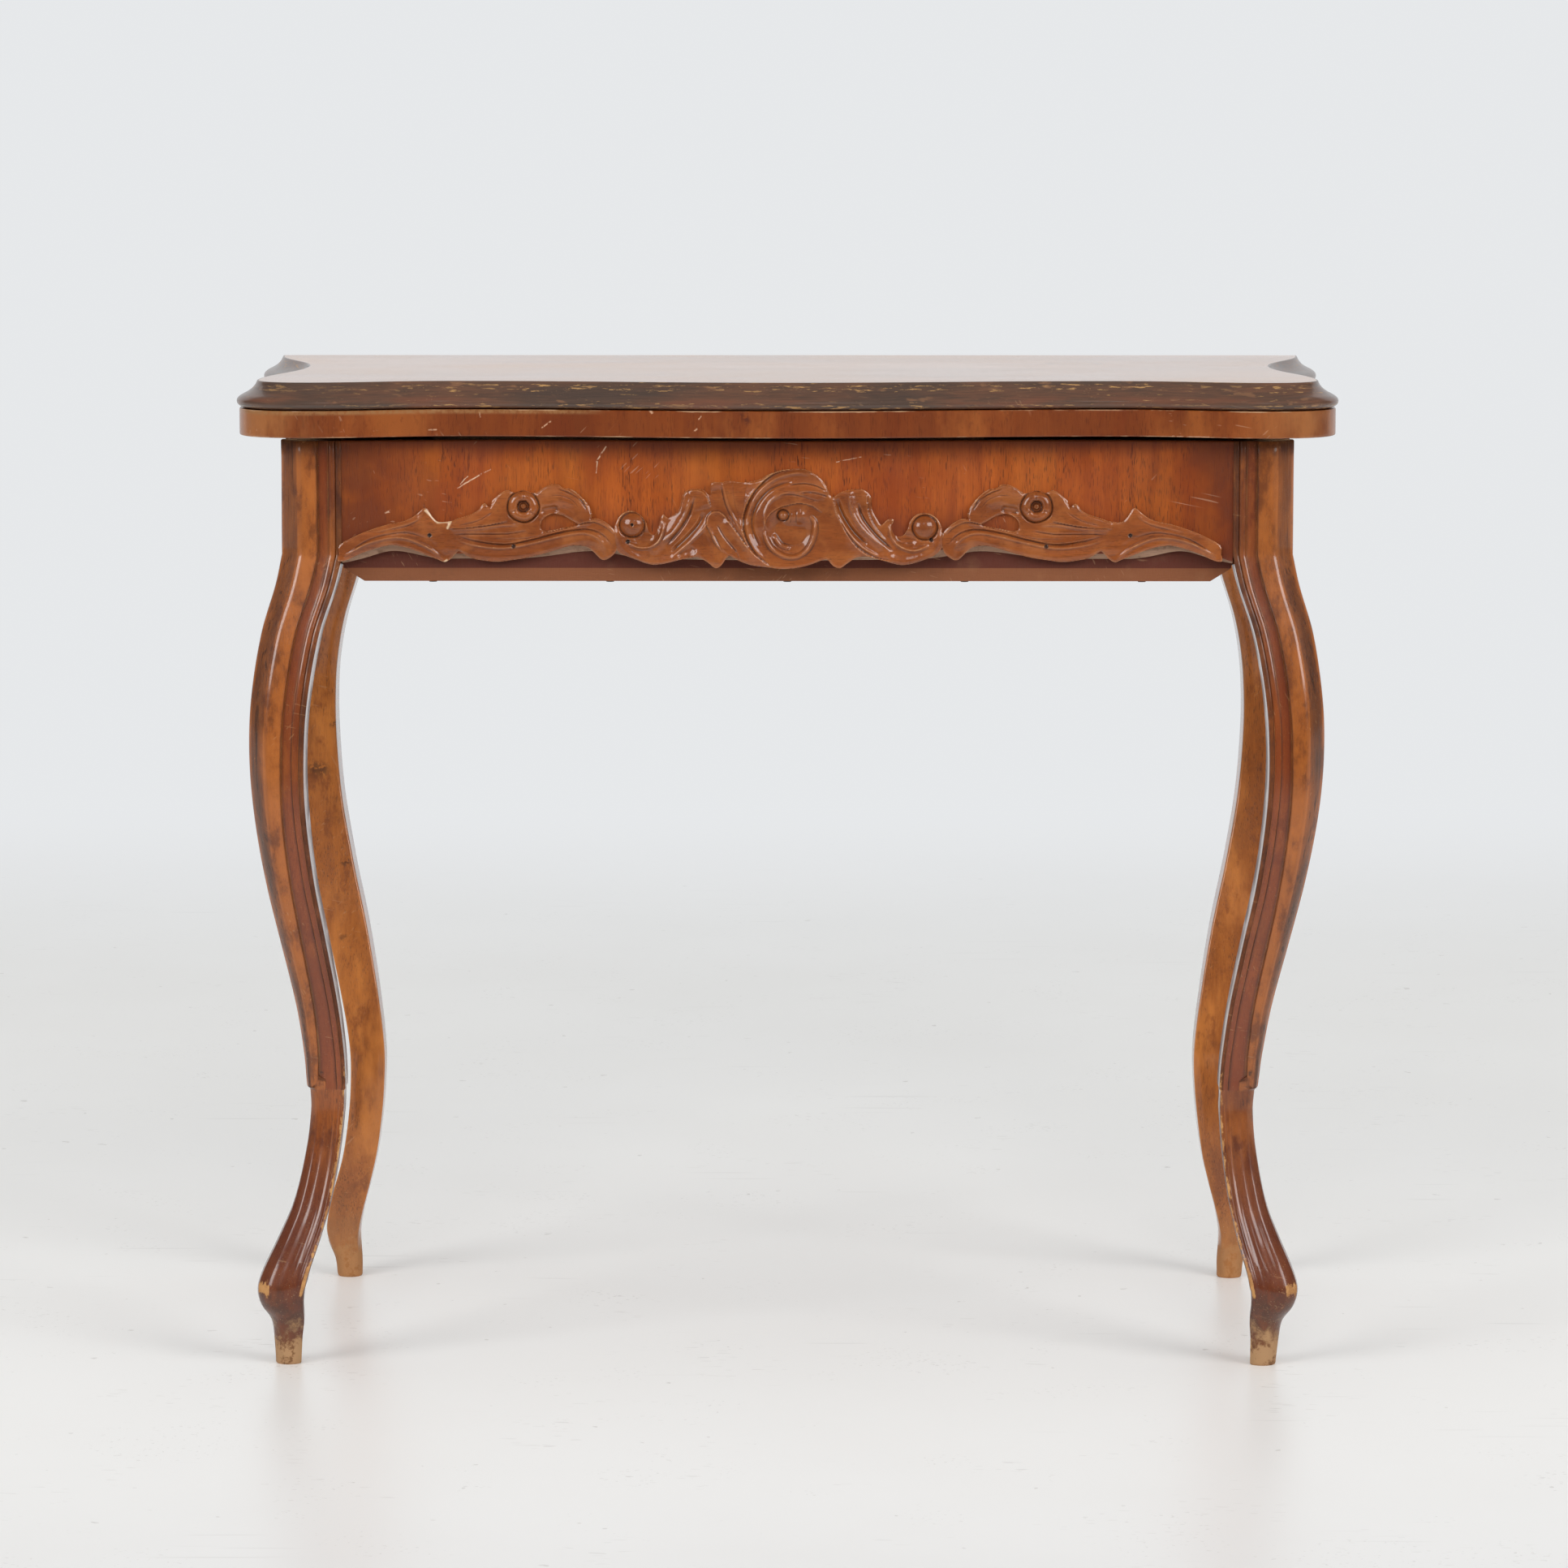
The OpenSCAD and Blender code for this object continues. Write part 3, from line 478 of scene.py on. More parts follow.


# %% [markdown]
# ### Veneer of the shaped front
# Walnut veneer stands with its grain upright. Light has faded it to a warm orange brown in
# broad upright bands, and dust and old polish have darkened it next to the legs. Under the
# top it is darkened by painted shade. A few deep scratches lie where things were pushed
# against it.

# %% Front veneer
front_veneer, place = finish("front_veneer", coat=0.4, coat_rough=0.12, specular=0.2)
grain = use(GRAIN, Light=(0.43, 0.098, 0.012), Dark=(0.19, 0.031, 0.005), Figure=0.6,
            Figure_Scale=70.0, Streaks=0.5, Pores=0.9, Pore_Scale=1500.0)
x, y, z = axes(place)
bands = speckle(stretched(place, (1, 0.2, 0.25)), 11.0, 4.0, 0.6, 0.5)
tone = mixed(spread(bands, 0.46, 0.66, 0.0, 0.4), grain["Color"], (0.46, 0.132, 0.015))
tone = mixed(spread(bands, 0.5, 0.34, 0.0, 0.3), tone, (0.16, 0.026, 0.006))
reddened = speckle(stretched(place, (1, 1, 0.7), (0.3, 0, 0)), 9.0, 4.0, 0.6)
tone = mixed(spread(reddened, 0.47, 0.62, 0.0, 0.6), tone, (0.22, 0.036, 0.007))
cloudy = speckle(place, 22.0, 3.0, 0.6)
# Painted shade under the top, where the leaves overhang the front.
shade_under_top = spread(z + cloudy * 0.016, 0.702, 0.727) * 0.85
ends = spread(abs(x), 0.22, 0.345) * spread(cloudy, 0.3, 0.6, 0.35, 0.8)
tone = mixed(most(shade_under_top, ends), tone, (0.1, 0.02, 0.006))
low = spread(z, 0.672, 0.64) * spread(cloudy, 0.35, 0.6, 0.2, 0.65)
tone = mixed(low, tone, (0.13, 0.025, 0.007))
hair = hairlines(0.22)
cuts = scratched(stretched(place, (1, 0, 1)), [((-0.251, 0, 0.6785), (-0.2265, 0, 0.6925), 0.0008),
                                               ((-0.1452, 0, 0.6985), (-0.138, 0, 0.7098), 0.0009),
                                               ((-0.3055, 0, 0.6595), (-0.3025, 0, 0.6605), 0.0012),
                                               ((-0.1456, 0, 0.6905), (-0.1444, 0, 0.6985), 0.0006),
                                               ((-0.249, 0, 0.6815), (-0.243, 0, 0.687), 0.0007),
                                               ((0.0375, 0, 0.699), (0.056, 0, 0.7025), 0.0005)])
marks = most(hair, cuts)
tone = mixed(marks, tone, (0.66, 0.43, 0.28))
# Grime and painted shade in the hollows.
tone = mixed(grime_and_shade(0.35, 38.0), tone, (0.07, 0.022, 0.012))
rough = spread(cloudy, 0.25, 0.75, 0.3, 0.46) + marks * 0.3
lay(tone, rough, grain["Height"] - marks * 2.0, 0.45, 0.00025)

# %% [markdown]
# ### Edge and faces of the leaves
# The lower leaf has a square edge with upright veneer, redder and darker than the front. Its
# arrises are rubbed to a thin pale line, and its round ears are lightened by a painted sheen.
# The faces of both leaves have the grain along the table. They are the same walnut, but the
# uppermost face has seen the most light and cloths.

# %% Leaf edge
leaf_edge, place = finish("leaf_edge", coat=0.5, coat_rough=0.13, specular=0.2)
grain = use(GRAIN, Light=(0.225, 0.052, 0.01), Dark=(0.12, 0.025, 0.007), Figure=0.7,
            Figure_Scale=20.0, Streaks=0.3, Pores=0.35, Pore_Scale=1300.0)
bands = speckle(stretched(place, (1, 0.8, 0.35)), 17.0, 5.0, 0.65)
tone = mixed(spread(bands, 0.5, 0.68, 0.0, 0.5), grain["Color"], (0.36, 0.105, 0.02))
tone = mixed(spread(bands, 0.46, 0.3, 0.0, 0.4), tone, (0.14, 0.022, 0.007))
flecks = speckle(stretched(place, (1, 1, 0.6)), 300.0, 4.0, 0.65)
tone = mixed(spread(flecks, 0.54, 0.7, 0.0, 0.35), tone, (0.1, 0.022, 0.008))
x, y, z = axes(place)
# Painted reflection: the round ears are lightened as if they caught a sheen.
ear_sheen = spread(abs(x), 0.33, 0.4) * spread(bands, 0.42, 0.6, 0.1, 0.55)
tone = mixed(ear_sheen, tone, (0.4, 0.165, 0.055))
left = spread(x, -0.13, -0.17) * spread(z, 0.735, 0.7375)
tone = mixed(left * spread(flecks, 0.35, 0.6, 0.35, 0.85), tone, (0.3, 0.145, 0.055))
tone = mixed(worn_edges(0.62, 70.0, (0.35, 0.35, 1)) * 0.8, tone, (0.52, 0.31, 0.17))
chips = put("ShaderNodeTexVoronoi", {"Vector": stretched(place, (1, 1, 0.6)), "Scale": 55.0},
            "Distance")
spots = spread(chips + speckle(place, 700.0) * 0.13, 0.155, 0.115)
spots = spots * spread(speckle(place, 30.0, 1.0), 0.62, 0.66)
hair = hairlines(0.25)
cuts = scratched(stretched(place, (1, 0, 1)), [((-0.2325, 0, 0.7335), (-0.2328, 0, 0.7365), 0.0008),
                                               ((-0.186, 0, 0.7255), (-0.179, 0, 0.7305), 0.0008),
                                               ((-0.271, 0, 0.7235), (-0.266, 0, 0.724), 0.0009),
                                               ((-0.102, 0, 0.7375), (-0.1035, 0, 0.7395), 0.0018),
                                               ((-0.0665, 0, 0.733), (-0.065, 0, 0.7355), 0.0008),
                                               ((-0.07, 0, 0.7235), (-0.0675, 0, 0.7255), 0.0009),
                                               ((0.292, 0, 0.719), (0.318, 0, 0.719), 0.0012)])
marks = most(hair, cuts, spots * 0.8)
tone = mixed(marks, tone, (0.55, 0.31, 0.18))
spot = use(SCRATCH, From=(-0.03, -0.21, 0.7315), To=(-0.0335, -0.21, 0.7375),
           Width=0.0042)["Mask"]
tone = mixed(spot * 0.9, tone, (0.07, 0.018, 0.01))
# Grime and painted shade in the hollows.
tone = mixed(grime_and_shade(0.35, 45.0), tone, (0.08, 0.026, 0.014))
rough = spread(bands, 0.3, 0.7, 0.33, 0.46) + marks * 0.25
lay(tone, rough, grain["Height"] - marks * 2.0, 0.4, 0.00025)


# %% Faces of the leaves
def face_veneer(name, light, dark, faded, rough_low, rough_high, stains, coat):
    made, place = finish(name, coat=coat, coat_rough=0.09, specular=0.5)
    x, y, z = axes(place)
    lengthwise = joined(y, z, x)
    grain = use(GRAIN, Vector=lengthwise, Light=light, Dark=dark, Figure=0.8, Figure_Scale=16.0,
                Streaks=0.45, Pores=0.6, Pore_Scale=1200.0)
    cloudy = speckle(place, 6.0, 4.0, 0.6)
    tone = mixed(spread(cloudy, 0.4, 0.7, 0.0, 0.7), grain["Color"], faded)
    joint = sums("PINGPONG", y + 0.037, 0.105)
    tone = mixed(spread(joint, 0.0006, 0.0, 0.0, 0.6), tone, dark)
    rings = put("ShaderNodeTexVoronoi", {"Vector": place, "Scale": 5.0}, "Distance")
    ring = spread(abs(rings - 0.19), 0.012, 0.0, 0.0, stains)
    tone = mixed(ring * spread(speckle(place, 11.0), 0.45, 0.6), tone, (0.1, 0.04, 0.02))
    hair = hairlines(0.22, 420.0)
    tone = mixed(hair, tone, (0.5, 0.3, 0.18))
    tone = mixed(worn_edges(0.5, 60.0), tone, (0.46, 0.29, 0.14))
    rough = spread(cloudy, 0.3, 0.7, rough_low, rough_high) + hair * 0.2
    feed("Specular Tint", (1.0, 0.9, 0.82))
    lay(tone, rough, grain["Height"] - hair, 0.35, 0.0002)
    return made


top_veneer = face_veneer("top_veneer", (0.5, 0.2, 0.06), (0.3, 0.11, 0.035), (0.56, 0.26, 0.09),
                         0.16, 0.22, 0.5, 0.45)
inner_veneer = face_veneer("inner_veneer", (0.3, 0.095, 0.03), (0.13, 0.036, 0.014),
                           (0.33, 0.12, 0.04), 0.26, 0.36, 0.0, 0.6)

# %% [markdown]
# ### Stained moulding
# The moulded edge of the upper leaf is a paler wood under a dark stain. Hands and cloths
# have rubbed the stain off in streaks that run along the moulding, most of all on the sharp
# edge next to the top and on the round nose. A faint grey painted sheen lies over all of it.

# %% Moulding
moulding, place = finish("moulding", coat=0.55, coat_rough=0.13, specular=0.2)
x, y, z = axes(place)
drawn = stretched(place, (0.16, 0.16, 1))
cloudy = speckle(drawn, 55.0, 4.0, 0.6)
fine = speckle(stretched(place, (0.06, 0.06, 1)), 900.0, 2.0, 0.6)
tone = mixed(spread(cloudy, 0.38, 0.66), (0.064, 0.034, 0.023), (0.125, 0.049, 0.024))
tone = mixed(spread(fine, 0.35, 0.7, 0.0, 0.4), tone, (0.028, 0.016, 0.012))
red = spread(cloudy, 0.52, 0.72) * spread(z, 0.7505, 0.746)
tone = mixed(red * 0.7, tone, (0.15, 0.042, 0.019))
wear = worn_edges(0.72, 90.0, (0.14, 0.14, 1), 0.8)
ragged = speckle(stretched(place, (0.11, 0.11, 1)), 620.0, 5.0, 0.7)
near_arris = spread(z, 0.7515, 0.7545) * spread(z, 0.759, 0.7572)
near_nose = spread(z, 0.7398, 0.7408) * spread(z, 0.745, 0.7432)
where = most(near_arris, near_nose)
streaks = spread(ragged + where * 0.075, 0.635, 0.675)
patches = speckle(stretched(place, (0.5, 0.5, 1), (2, 0, 0)), 26.0)
streaks = streaks * spread(patches, 0.38, 0.56, 0.35, 1.0)
rubbed = most(wear, streaks * 0.95)
tone = mixed(rubbed, tone, (0.42, 0.225, 0.075))
pale = spread(speckle(stretched(place, (0.3, 0.3, 1), (3, 1, 0)), 140.0, 3.0, 0.6), 0.62, 0.7)
tone = mixed(pale * 0.45, tone, (0.27, 0.12, 0.05))
tone = mixed(hairlines(0.22), tone, (0.35, 0.2, 0.1))
# Painted sheen: a faint grey mixed over the whole moulding.
tone = mixed(0.045, tone, (0.5, 0.44, 0.37))
rough = spread(cloudy, 0.3, 0.7, 0.27, 0.4) + rubbed * 0.25
lay(tone, rough, fine * 0.4 - rubbed, 0.4, 0.0002)

# %% [markdown]
# ### Legs
# The legs are solid stained wood with upright grain. The quirks are dark with grime and
# painted shade, and a painted shade line runs along the grooves. The stain is pale and orange
# on the broad faces and gone from the arrises, which also get a painted highlight. The feet
# are the most worn: bare pale wood on the toes and dirty bare wood where they meet the floor.
# The back legs are plainer and yellower, with knots.

# %% Legs
def leg_wood(name, light, dark, warm, knots, front):
    made, place = finish(name, coat=0.85, coat_rough=0.12, specular=0.2)
    grain = use(GRAIN, Light=light, Dark=dark, Figure=0.75, Figure_Scale=46.0,
                Streaks=0.6, Pores=0.6, Pore_Scale=1500.0)
    x, y, z = axes(place)
    cloudy = speckle(stretched(place, (1, 1, 0.35)), 26.0, 4.0, 0.6)
    blotch = speckle(stretched(place, (1, 1, 0.5), (0.4, 0, 0)), 75.0, 4.0, 0.65)
    tone = mixed(spread(cloudy, 0.5, 0.68, 0.0, 0.6), grain["Color"], warm)
    tone = mixed(spread(blotch, 0.48, 0.3, 0.0, 0.85), tone, dark)
    band, chamfer, flute, worn = (attribute(label)
                                  for label in ("band", "chamfer", "flute", "worn"))
    tone = mixed(flute * spread(cloudy, 0.3, 0.7, 0.75, 0.45), tone, (0.19, 0.036, 0.009))
    tone = mixed(band * spread(blotch, 0.35, 0.6, 0.15, 0.6), tone, warm)
    cracks = speckle(stretched(place, (1, 1, 0.03)), 420.0, 2.0, 0.6)
    tone = mixed(chamfer * spread(cloudy, 0.35, 0.6, 0.92, 0.45), tone, (0.082, 0.031, 0.014))
    tone = mixed(chamfer * spread(cracks, 0.56, 0.66, 0.0, 0.7), tone, (0.026, 0.01, 0.005))
    rub = worn_edges(0.42, 120.0, (1, 1, 0.2), 0.75)
    # Painted highlight: proud edges are lightened toward the warm tone.
    tone = mixed(spread(attribute("crest"), 0.1, 0.7) * 0.65, tone, warm)
    tone = mixed(rub * 0.7, tone, (0.5, 0.27, 0.1))
    # Grime and painted shade in the quirks and hollows.
    dirt_and_shade = grime_and_shade(0.65, 48.0)
    tone = mixed(dirt_and_shade, tone, (0.035, 0.011, 0.005))
    # Painted shade: a dark line along the grooves beside the bead and at the foot of the band.
    groove_shade = attribute("groove") * spread(blotch, 0.3, 0.6, 0.9, 0.55)
    tone = mixed(groove_shade, tone, (0.05, 0.013, 0.005))
    bent = vectors("MULTIPLY", speckle(place, 160.0, 3.0, give=1), (0.006, 0.0, 0.006))
    flat = vectors("ADD", stretched(place, (1, 0.005, 1)), bent)
    for knot, wide, strength in knots:
        mask = use(SCRATCH, Vector=flat, From=knot, To=(knot[0] + wide * 0.6, 0, knot[2]),
                   Width=wide)["Mask"]
        tone = mixed(mask * strength, tone, (0.045, 0.016, 0.006))
    level = z + (speckle(stretched(place, (1, 1, 0.4)), 130.0, 4.0, 0.65) - 0.5) * 0.05
    stains = speckle(place, 95.0, 5.0, 0.7)
    if front:
        deep = spread(z, 0.225, 0.12, 0.0, 0.88) * spread(cloudy, 0.25, 0.6, 1.0, 0.8)
        tone = mixed(deep, tone, (0.095, 0.018, 0.006))
        grimy = spread(level, 0.066, 0.048) * spread(stains, 0.62, 0.45, 0.25, 0.85)
        tone = mixed(grimy, tone, (0.07, 0.022, 0.009))
    foot = spread(z + (stains - 0.5) * 0.07, 0.036, 0.012)
    bare = mixed(spread(stains, 0.5, 0.62), (0.42, 0.245, 0.12), (0.2, 0.095, 0.04))
    tone = mixed(foot * (0.92 if front else 0.55), tone, bare)
    if not front:
        tone = mixed(spread(level, 0.075, 0.03) * 0.45, tone, (0.36, 0.16, 0.055))
    ends = spread(z, 0.712, 0.7185) * spread(stains, 0.5, 0.58)
    tone = mixed(ends * most(band, worn), tone, (0.5, 0.26, 0.12))
    fleck = speckle(stretched(place, (1, 1, 0.5)), 300.0, 5.0, 0.7)
    toe = spread(worn + (fleck - 0.5) * 2.2, 0.5, 0.75)
    pale = mixed(spread(stains, 0.4, 0.62), (0.56, 0.29, 0.105), (0.38, 0.175, 0.06))
    tone = mixed(toe * 0.9, tone, pale)
    specks = spread(speckle(place, 1100.0, 2.0, 0.6), 0.66, 0.72)
    tone = mixed(specks * spread(z, 0.16, 0.03, 0.3, 0.9), tone, (0.42, 0.24, 0.11))
    tone = mixed(hairlines(0.25), tone, (0.47, 0.26, 0.12))
    bare_wood = most(foot, toe)
    base = spread(cloudy, 0.3, 0.7, 0.28, 0.42)
    rough = most(base + dirt_and_shade * 0.25, most(bare_wood, rub * 0.7) * 0.7)
    dents = rub * 0.8 + chamfer * cracks * 2.0
    lay(tone, rough, grain["Height"] - dents, 0.45, 0.0003)
    feed("Coat Weight", spread(most(bare_wood, dirt_and_shade), 0.0, 0.8, 0.85, 0.05))
    return made


KNOTS = [((-0.3721, 0, 0.4617), 0.004, 0.9), ((-0.3874, 0, 0.4249), 0.0095, 0.75),
         ((-0.3627, 0, 0.3494), 0.0045, 0.8), ((-0.3644, 0, 0.2898), 0.0035, 0.7),
         ((0.393, 0, 0.335), 0.006, 0.6)]
NICKS = [((-0.3570, 0, 0.2288), 0.0022, 0.95), ((0.3600, 0, 0.2288), 0.0022, 0.95)]
front_leg_wood = leg_wood("front_leg_wood", (0.315, 0.083, 0.014), (0.1, 0.024, 0.007),
                          (0.43, 0.128, 0.021), NICKS, True)
back_leg_wood = leg_wood("back_leg_wood", (0.37, 0.112, 0.018), (0.19, 0.05, 0.01),
                         (0.55, 0.185, 0.032), KNOTS, False)

# %% [markdown]
# ### Carving, boards and bare wood
# The carved ornament has the same stain as the legs. Its deep cuts are dark with grime and
# painted shade, and its ridges are pale with wear and a painted highlight. Inside the frame the
# wood was never polished: the card well is yellow pine, and the board under it had one coat
# of brown stain that wore off along its edge.

# %% Carving
carved, place = finish("carved", coat=0.8, coat_rough=0.09, specular=0.12)
x, y, z = axes(place)
grain = use(GRAIN, Vector=joined(y, z, x), Light=(0.31, 0.082, 0.018), Dark=(0.13, 0.03, 0.008),
            Figure=0.6, Figure_Scale=40.0, Streaks=0.4, Pores=0.4, Pore_Scale=1500.0)
cloudy = speckle(place, 55.0, 3.0, 0.6)
tone = mixed(spread(cloudy, 0.45, 0.7, 0.0, 0.6), grain["Color"], (0.34, 0.105, 0.024))
# Painted highlight: proud edges of the relief are lightened.
tone = mixed(spread(attribute("crest"), 0.1, 0.7) * 0.45, tone, (0.4, 0.15, 0.05))
# Grime and painted shade in the deep cuts.
tone = mixed(grime_and_shade(0.8, 80.0), tone, (0.04, 0.014, 0.008))
rub = worn_edges(0.34, 170.0)
tone = mixed(rub * 0.6, tone, (0.48, 0.25, 0.11))
broken = attribute("broken")
tone = mixed(attribute("pit") * 0.85, tone, (0.022, 0.012, 0.009))
tone = mixed(broken, tone, (0.62, 0.42, 0.25))
rough = most(spread(cloudy, 0.3, 0.7, 0.27, 0.4), most(rub, broken) * 0.6)
tool = speckle(place, 190.0)
lay(tone, rough, grain["Height"] * 0.6 + tool, 0.5, 0.0006)


# %% Plain boards
def plain_board(name, light, dark, axis, stain=None, coat=0.0):
    """Unpolished wood with its grain along an axis. Stain is a colour for its outer faces."""
    made, place = finish(name, coat=coat, coat_rough=0.3, specular=0.2)
    x, y, z = axes(place)
    vector = joined(y, z, x) if axis == "x" else joined(z, x, y) if axis == "y" else place
    grain = use(GRAIN, Vector=vector, Light=light, Dark=dark, Figure=0.8, Figure_Scale=38.0,
                Streaks=0.6, Pores=0.25, Pore_Scale=1100.0)
    knots = put("ShaderNodeTexVoronoi", {"Vector": stretched(vector, (1, 1, 0.4)), "Scale": 9.0},
                "Distance")
    tone = mixed(spread(knots, 0.16, 0.08, 0.0, 0.6), grain["Color"], (0.12, 0.05, 0.02))
    # Dust and painted shade in the hollows.
    dust_and_shade = grime_and_shade(0.7, 24.0)
    if stain:
        cloudy = speckle(vector, 30.0, 3.0, 0.6)
        tone = mixed(spread(cloudy, 0.2, 0.45, 0.75, 0.97), tone, stain)
        tone = mixed(worn_edges(0.62, 60.0, (0.3, 0.6, 1)) * 0.7, tone, (0.34, 0.17, 0.08))
        tone = mixed(hairlines(0.5, 900.0), tone, (0.36, 0.19, 0.1))
    tone = mixed(dust_and_shade, tone, (0.06, 0.03, 0.016))
    saw = speckle(stretched(vector, (1, 1, 6)), 160.0, 1.0)
    rough = spread(saw, 0.3, 0.7, 0.52 if stain else 0.66, 0.72 if stain else 0.85)
    lay(tone, rough, grain["Height"] + saw * 0.5, 0.5, 0.0004)
    return made


bare_pine_across = plain_board("bare_pine_across", (0.6, 0.4, 0.2), (0.42, 0.24, 0.1), "y")
bare_pine_upright = plain_board("bare_pine_upright", (0.58, 0.38, 0.19), (0.4, 0.23, 0.1), "z")
stained_board = plain_board("stained_board", (0.42, 0.22, 0.1), (0.24, 0.11, 0.05), "x",
                            (0.205, 0.067, 0.025), 0.15)
stained_core = plain_board("stained_core", (0.42, 0.22, 0.1), (0.24, 0.11, 0.05), "x",
                           (0.096, 0.02, 0.011), 0.1)
under_pine = plain_board("under_pine", (0.46, 0.28, 0.13), (0.3, 0.16, 0.07), "x")
oak = plain_board("oak", (0.4, 0.24, 0.11), (0.22, 0.12, 0.05), "z")

# %% [markdown]
# The side rails are veneered like the front, but stand in less light.

# %% Side veneer
side_veneer, place = finish("side_veneer", coat=0.3, coat_rough=0.16, specular=0.25)
grain = use(GRAIN, Light=(0.37, 0.092, 0.013), Dark=(0.16, 0.031, 0.007), Figure=0.8,
            Figure_Scale=24.0, Streaks=0.4, Pores=0.7, Pore_Scale=1300.0)
bands = speckle(stretched(place, (0.2, 1, 0.12)), 14.0, 2.0, 0.5, 0.8)
tone = mixed(spread(bands, 0.45, 0.66, 0.0, 0.7), grain["Color"], (0.43, 0.13, 0.017))
# Grime and painted shade in the hollows.
tone = mixed(grime_and_shade(0.6, 30.0), tone, (0.07, 0.022, 0.012))
tone = mixed(worn_edges(0.5, 70.0, (1, 0.3, 1)) * 0.7, tone, (0.5, 0.3, 0.16))
tone = mixed(hairlines(0.5, 900.0), tone, (0.55, 0.33, 0.18))
lay(tone, spread(bands, 0.3, 0.7, 0.3, 0.45), grain["Height"], 0.45, 0.00025)


# %% [markdown]
# ### Metals and leather
# The hinges are cast brass gone brown except where they rub. The plate, bolt and nails are
# iron with a skin of rust. The glide strips and the washer are hard old leather.

# %% Metals and leather
def old_metal(name, bright, skin, spots, rough_low, rough_high, metal):
    made, place = finish(name, metal=metal)
    cloudy = speckle(place, 160.0, 5.0, 0.65)
    fine = speckle(place, 1500.0, 3.0, 0.6)
    tone = mixed(spread(cloudy, 0.35, 0.62), bright, skin)
    rust = spread(cloudy, 0.52, 0.7) * spread(fine, 0.3, 0.6, 0.4, 1.0)
    tone = mixed(rust, tone, spots)
    lay(tone, spread(cloudy, 0.3, 0.65, rough_low, rough_high), cloudy + fine, 0.35, 0.0003)
    feed("Metallic", spread(rust, 0.0, 1.0, metal, 0.15))
    return made


brass = old_metal("brass", (0.6, 0.4, 0.15), (0.3, 0.18, 0.07), (0.07, 0.045, 0.025), 0.28, 0.55,
                  0.95)
iron = old_metal("iron", (0.14, 0.13, 0.12), (0.06, 0.052, 0.047), (0.14, 0.055, 0.025), 0.42, 0.75,
                 0.8)
nail_iron = old_metal("nail_iron", (0.16, 0.15, 0.14), (0.07, 0.062, 0.056), (0.12, 0.05, 0.03),
                      0.38, 0.7, 0.8)

leather, place = finish("leather", specular=0.3)
folds = put("ShaderNodeTexVoronoi", {"Vector": place, "Scale": 420.0}, "Distance",
            feature="DISTANCE_TO_EDGE")
cloudy = speckle(place, 60.0, 4.0, 0.6)
tone = mixed(spread(cloudy, 0.3, 0.7), (0.075, 0.04, 0.024), (0.16, 0.09, 0.05))
tone = mixed(spread(folds, 0.08, 0.0, 0.0, 0.6), tone, (0.03, 0.016, 0.01))
lay(tone, spread(cloudy, 0.3, 0.7, 0.55, 0.8), folds + cloudy, 0.5, 0.0004)

# %% [markdown]
# ### Where veneer is missing
# One piece of veneer has broken off the front edge. Under it lies pale wood with saw marks
# and old glue. The marks are thin dark lines along the table.

# %% Bare ground under the veneer
ground, place = finish("ground", specular=0.3)
x, y, z = axes(place)
saw = spread(sums("SINE", z * 5200.0 + x * 90.0), 0.2, 0.95)
cloudy = speckle(place, 240.0, 3.0, 0.6)
tone = mixed(spread(cloudy, 0.3, 0.7), (0.56, 0.34, 0.22), (0.44, 0.24, 0.14))
tone = mixed(saw * 0.6, tone, (0.27, 0.12, 0.07))
lay(tone, spread(cloudy, 0.3, 0.7, 0.7, 0.9), saw, 0.4, 0.0003)

# %% [markdown]
# The bevel under the scallops was never veneered. It is bare wood gone grey brown with dust.

# %% Bare bevel
bare_bevel, place = finish("bare_bevel", specular=0.2)
x, y, z = axes(place)
grain = use(GRAIN, Vector=joined(y, z, x), Light=(0.4, 0.245, 0.165), Dark=(0.25, 0.14, 0.088),
            Figure=0.6, Figure_Scale=60.0, Streaks=0.5, Pores=0.3, Pore_Scale=1300.0)
cloudy = speckle(place, 120.0, 4.0, 0.6)
tone = mixed(spread(cloudy, 0.5, 0.75, 0.0, 0.6), grain["Color"], (0.14, 0.07, 0.04))
# Grime and painted shade in the hollows.
tone = mixed(grime_and_shade(0.6, 60.0), tone, (0.09, 0.05, 0.035))
lay(tone, spread(cloudy, 0.3, 0.7, 0.65, 0.85), grain["Height"], 0.4, 0.0003)
print(len(bpy.data.materials), "finishes")

# %% [markdown]
# ## The two leaves
# Both leaves share one outline: a straight back where they are hinged, sides that swell and
# hollow, a round ear at each front corner and a front that hollows twice. Five cubic curves
# make one half. The edge is made by stepping the outline inward along its own normals, so a
# moulding keeps its width all the way round.

# %% Outline of a leaf
TOP_W, LEAF_D, LEAF_T, LEAF_GAP = 840.0, 420.0, 20.5, 0.3
TABLE_H, BARREL_R = 760.0, 3.5
EAR_W, EAR_D, EAR_PULL, PULL = 54, 60, 0.62, 0.42
FRONT_HOLLOW_X, FRONT_HOLLOW, SIDE_HOLLOW, SIDE_HOLLOW_Y, HINGE_SWELL = 250.0, 24, 23, -180.0, 12
HINGE_Z = TABLE_H - LEAF_T - LEAF_GAP / 2
MID_Y = (LEAF_GAP / 2 - BARREL_R) / 2
HINGE_Y = MID_Y + LEAF_D / 2
LEAF_BACK = HINGE_Y - LEAF_GAP / 2


def across(a, b):
    """A curve that leaves a and meets b along the front."""
    return [a, (a[0] + (b[0] - a[0]) * PULL, a[1]), (b[0] - (b[0] - a[0]) * PULL, b[1]), b]


def along(a, b):
    """A curve that leaves a and meets b along the side."""
    return [a, (a[0], a[1] + (b[1] - a[1]) * PULL), (b[0], b[1] - (b[1] - a[1]) * PULL), b]


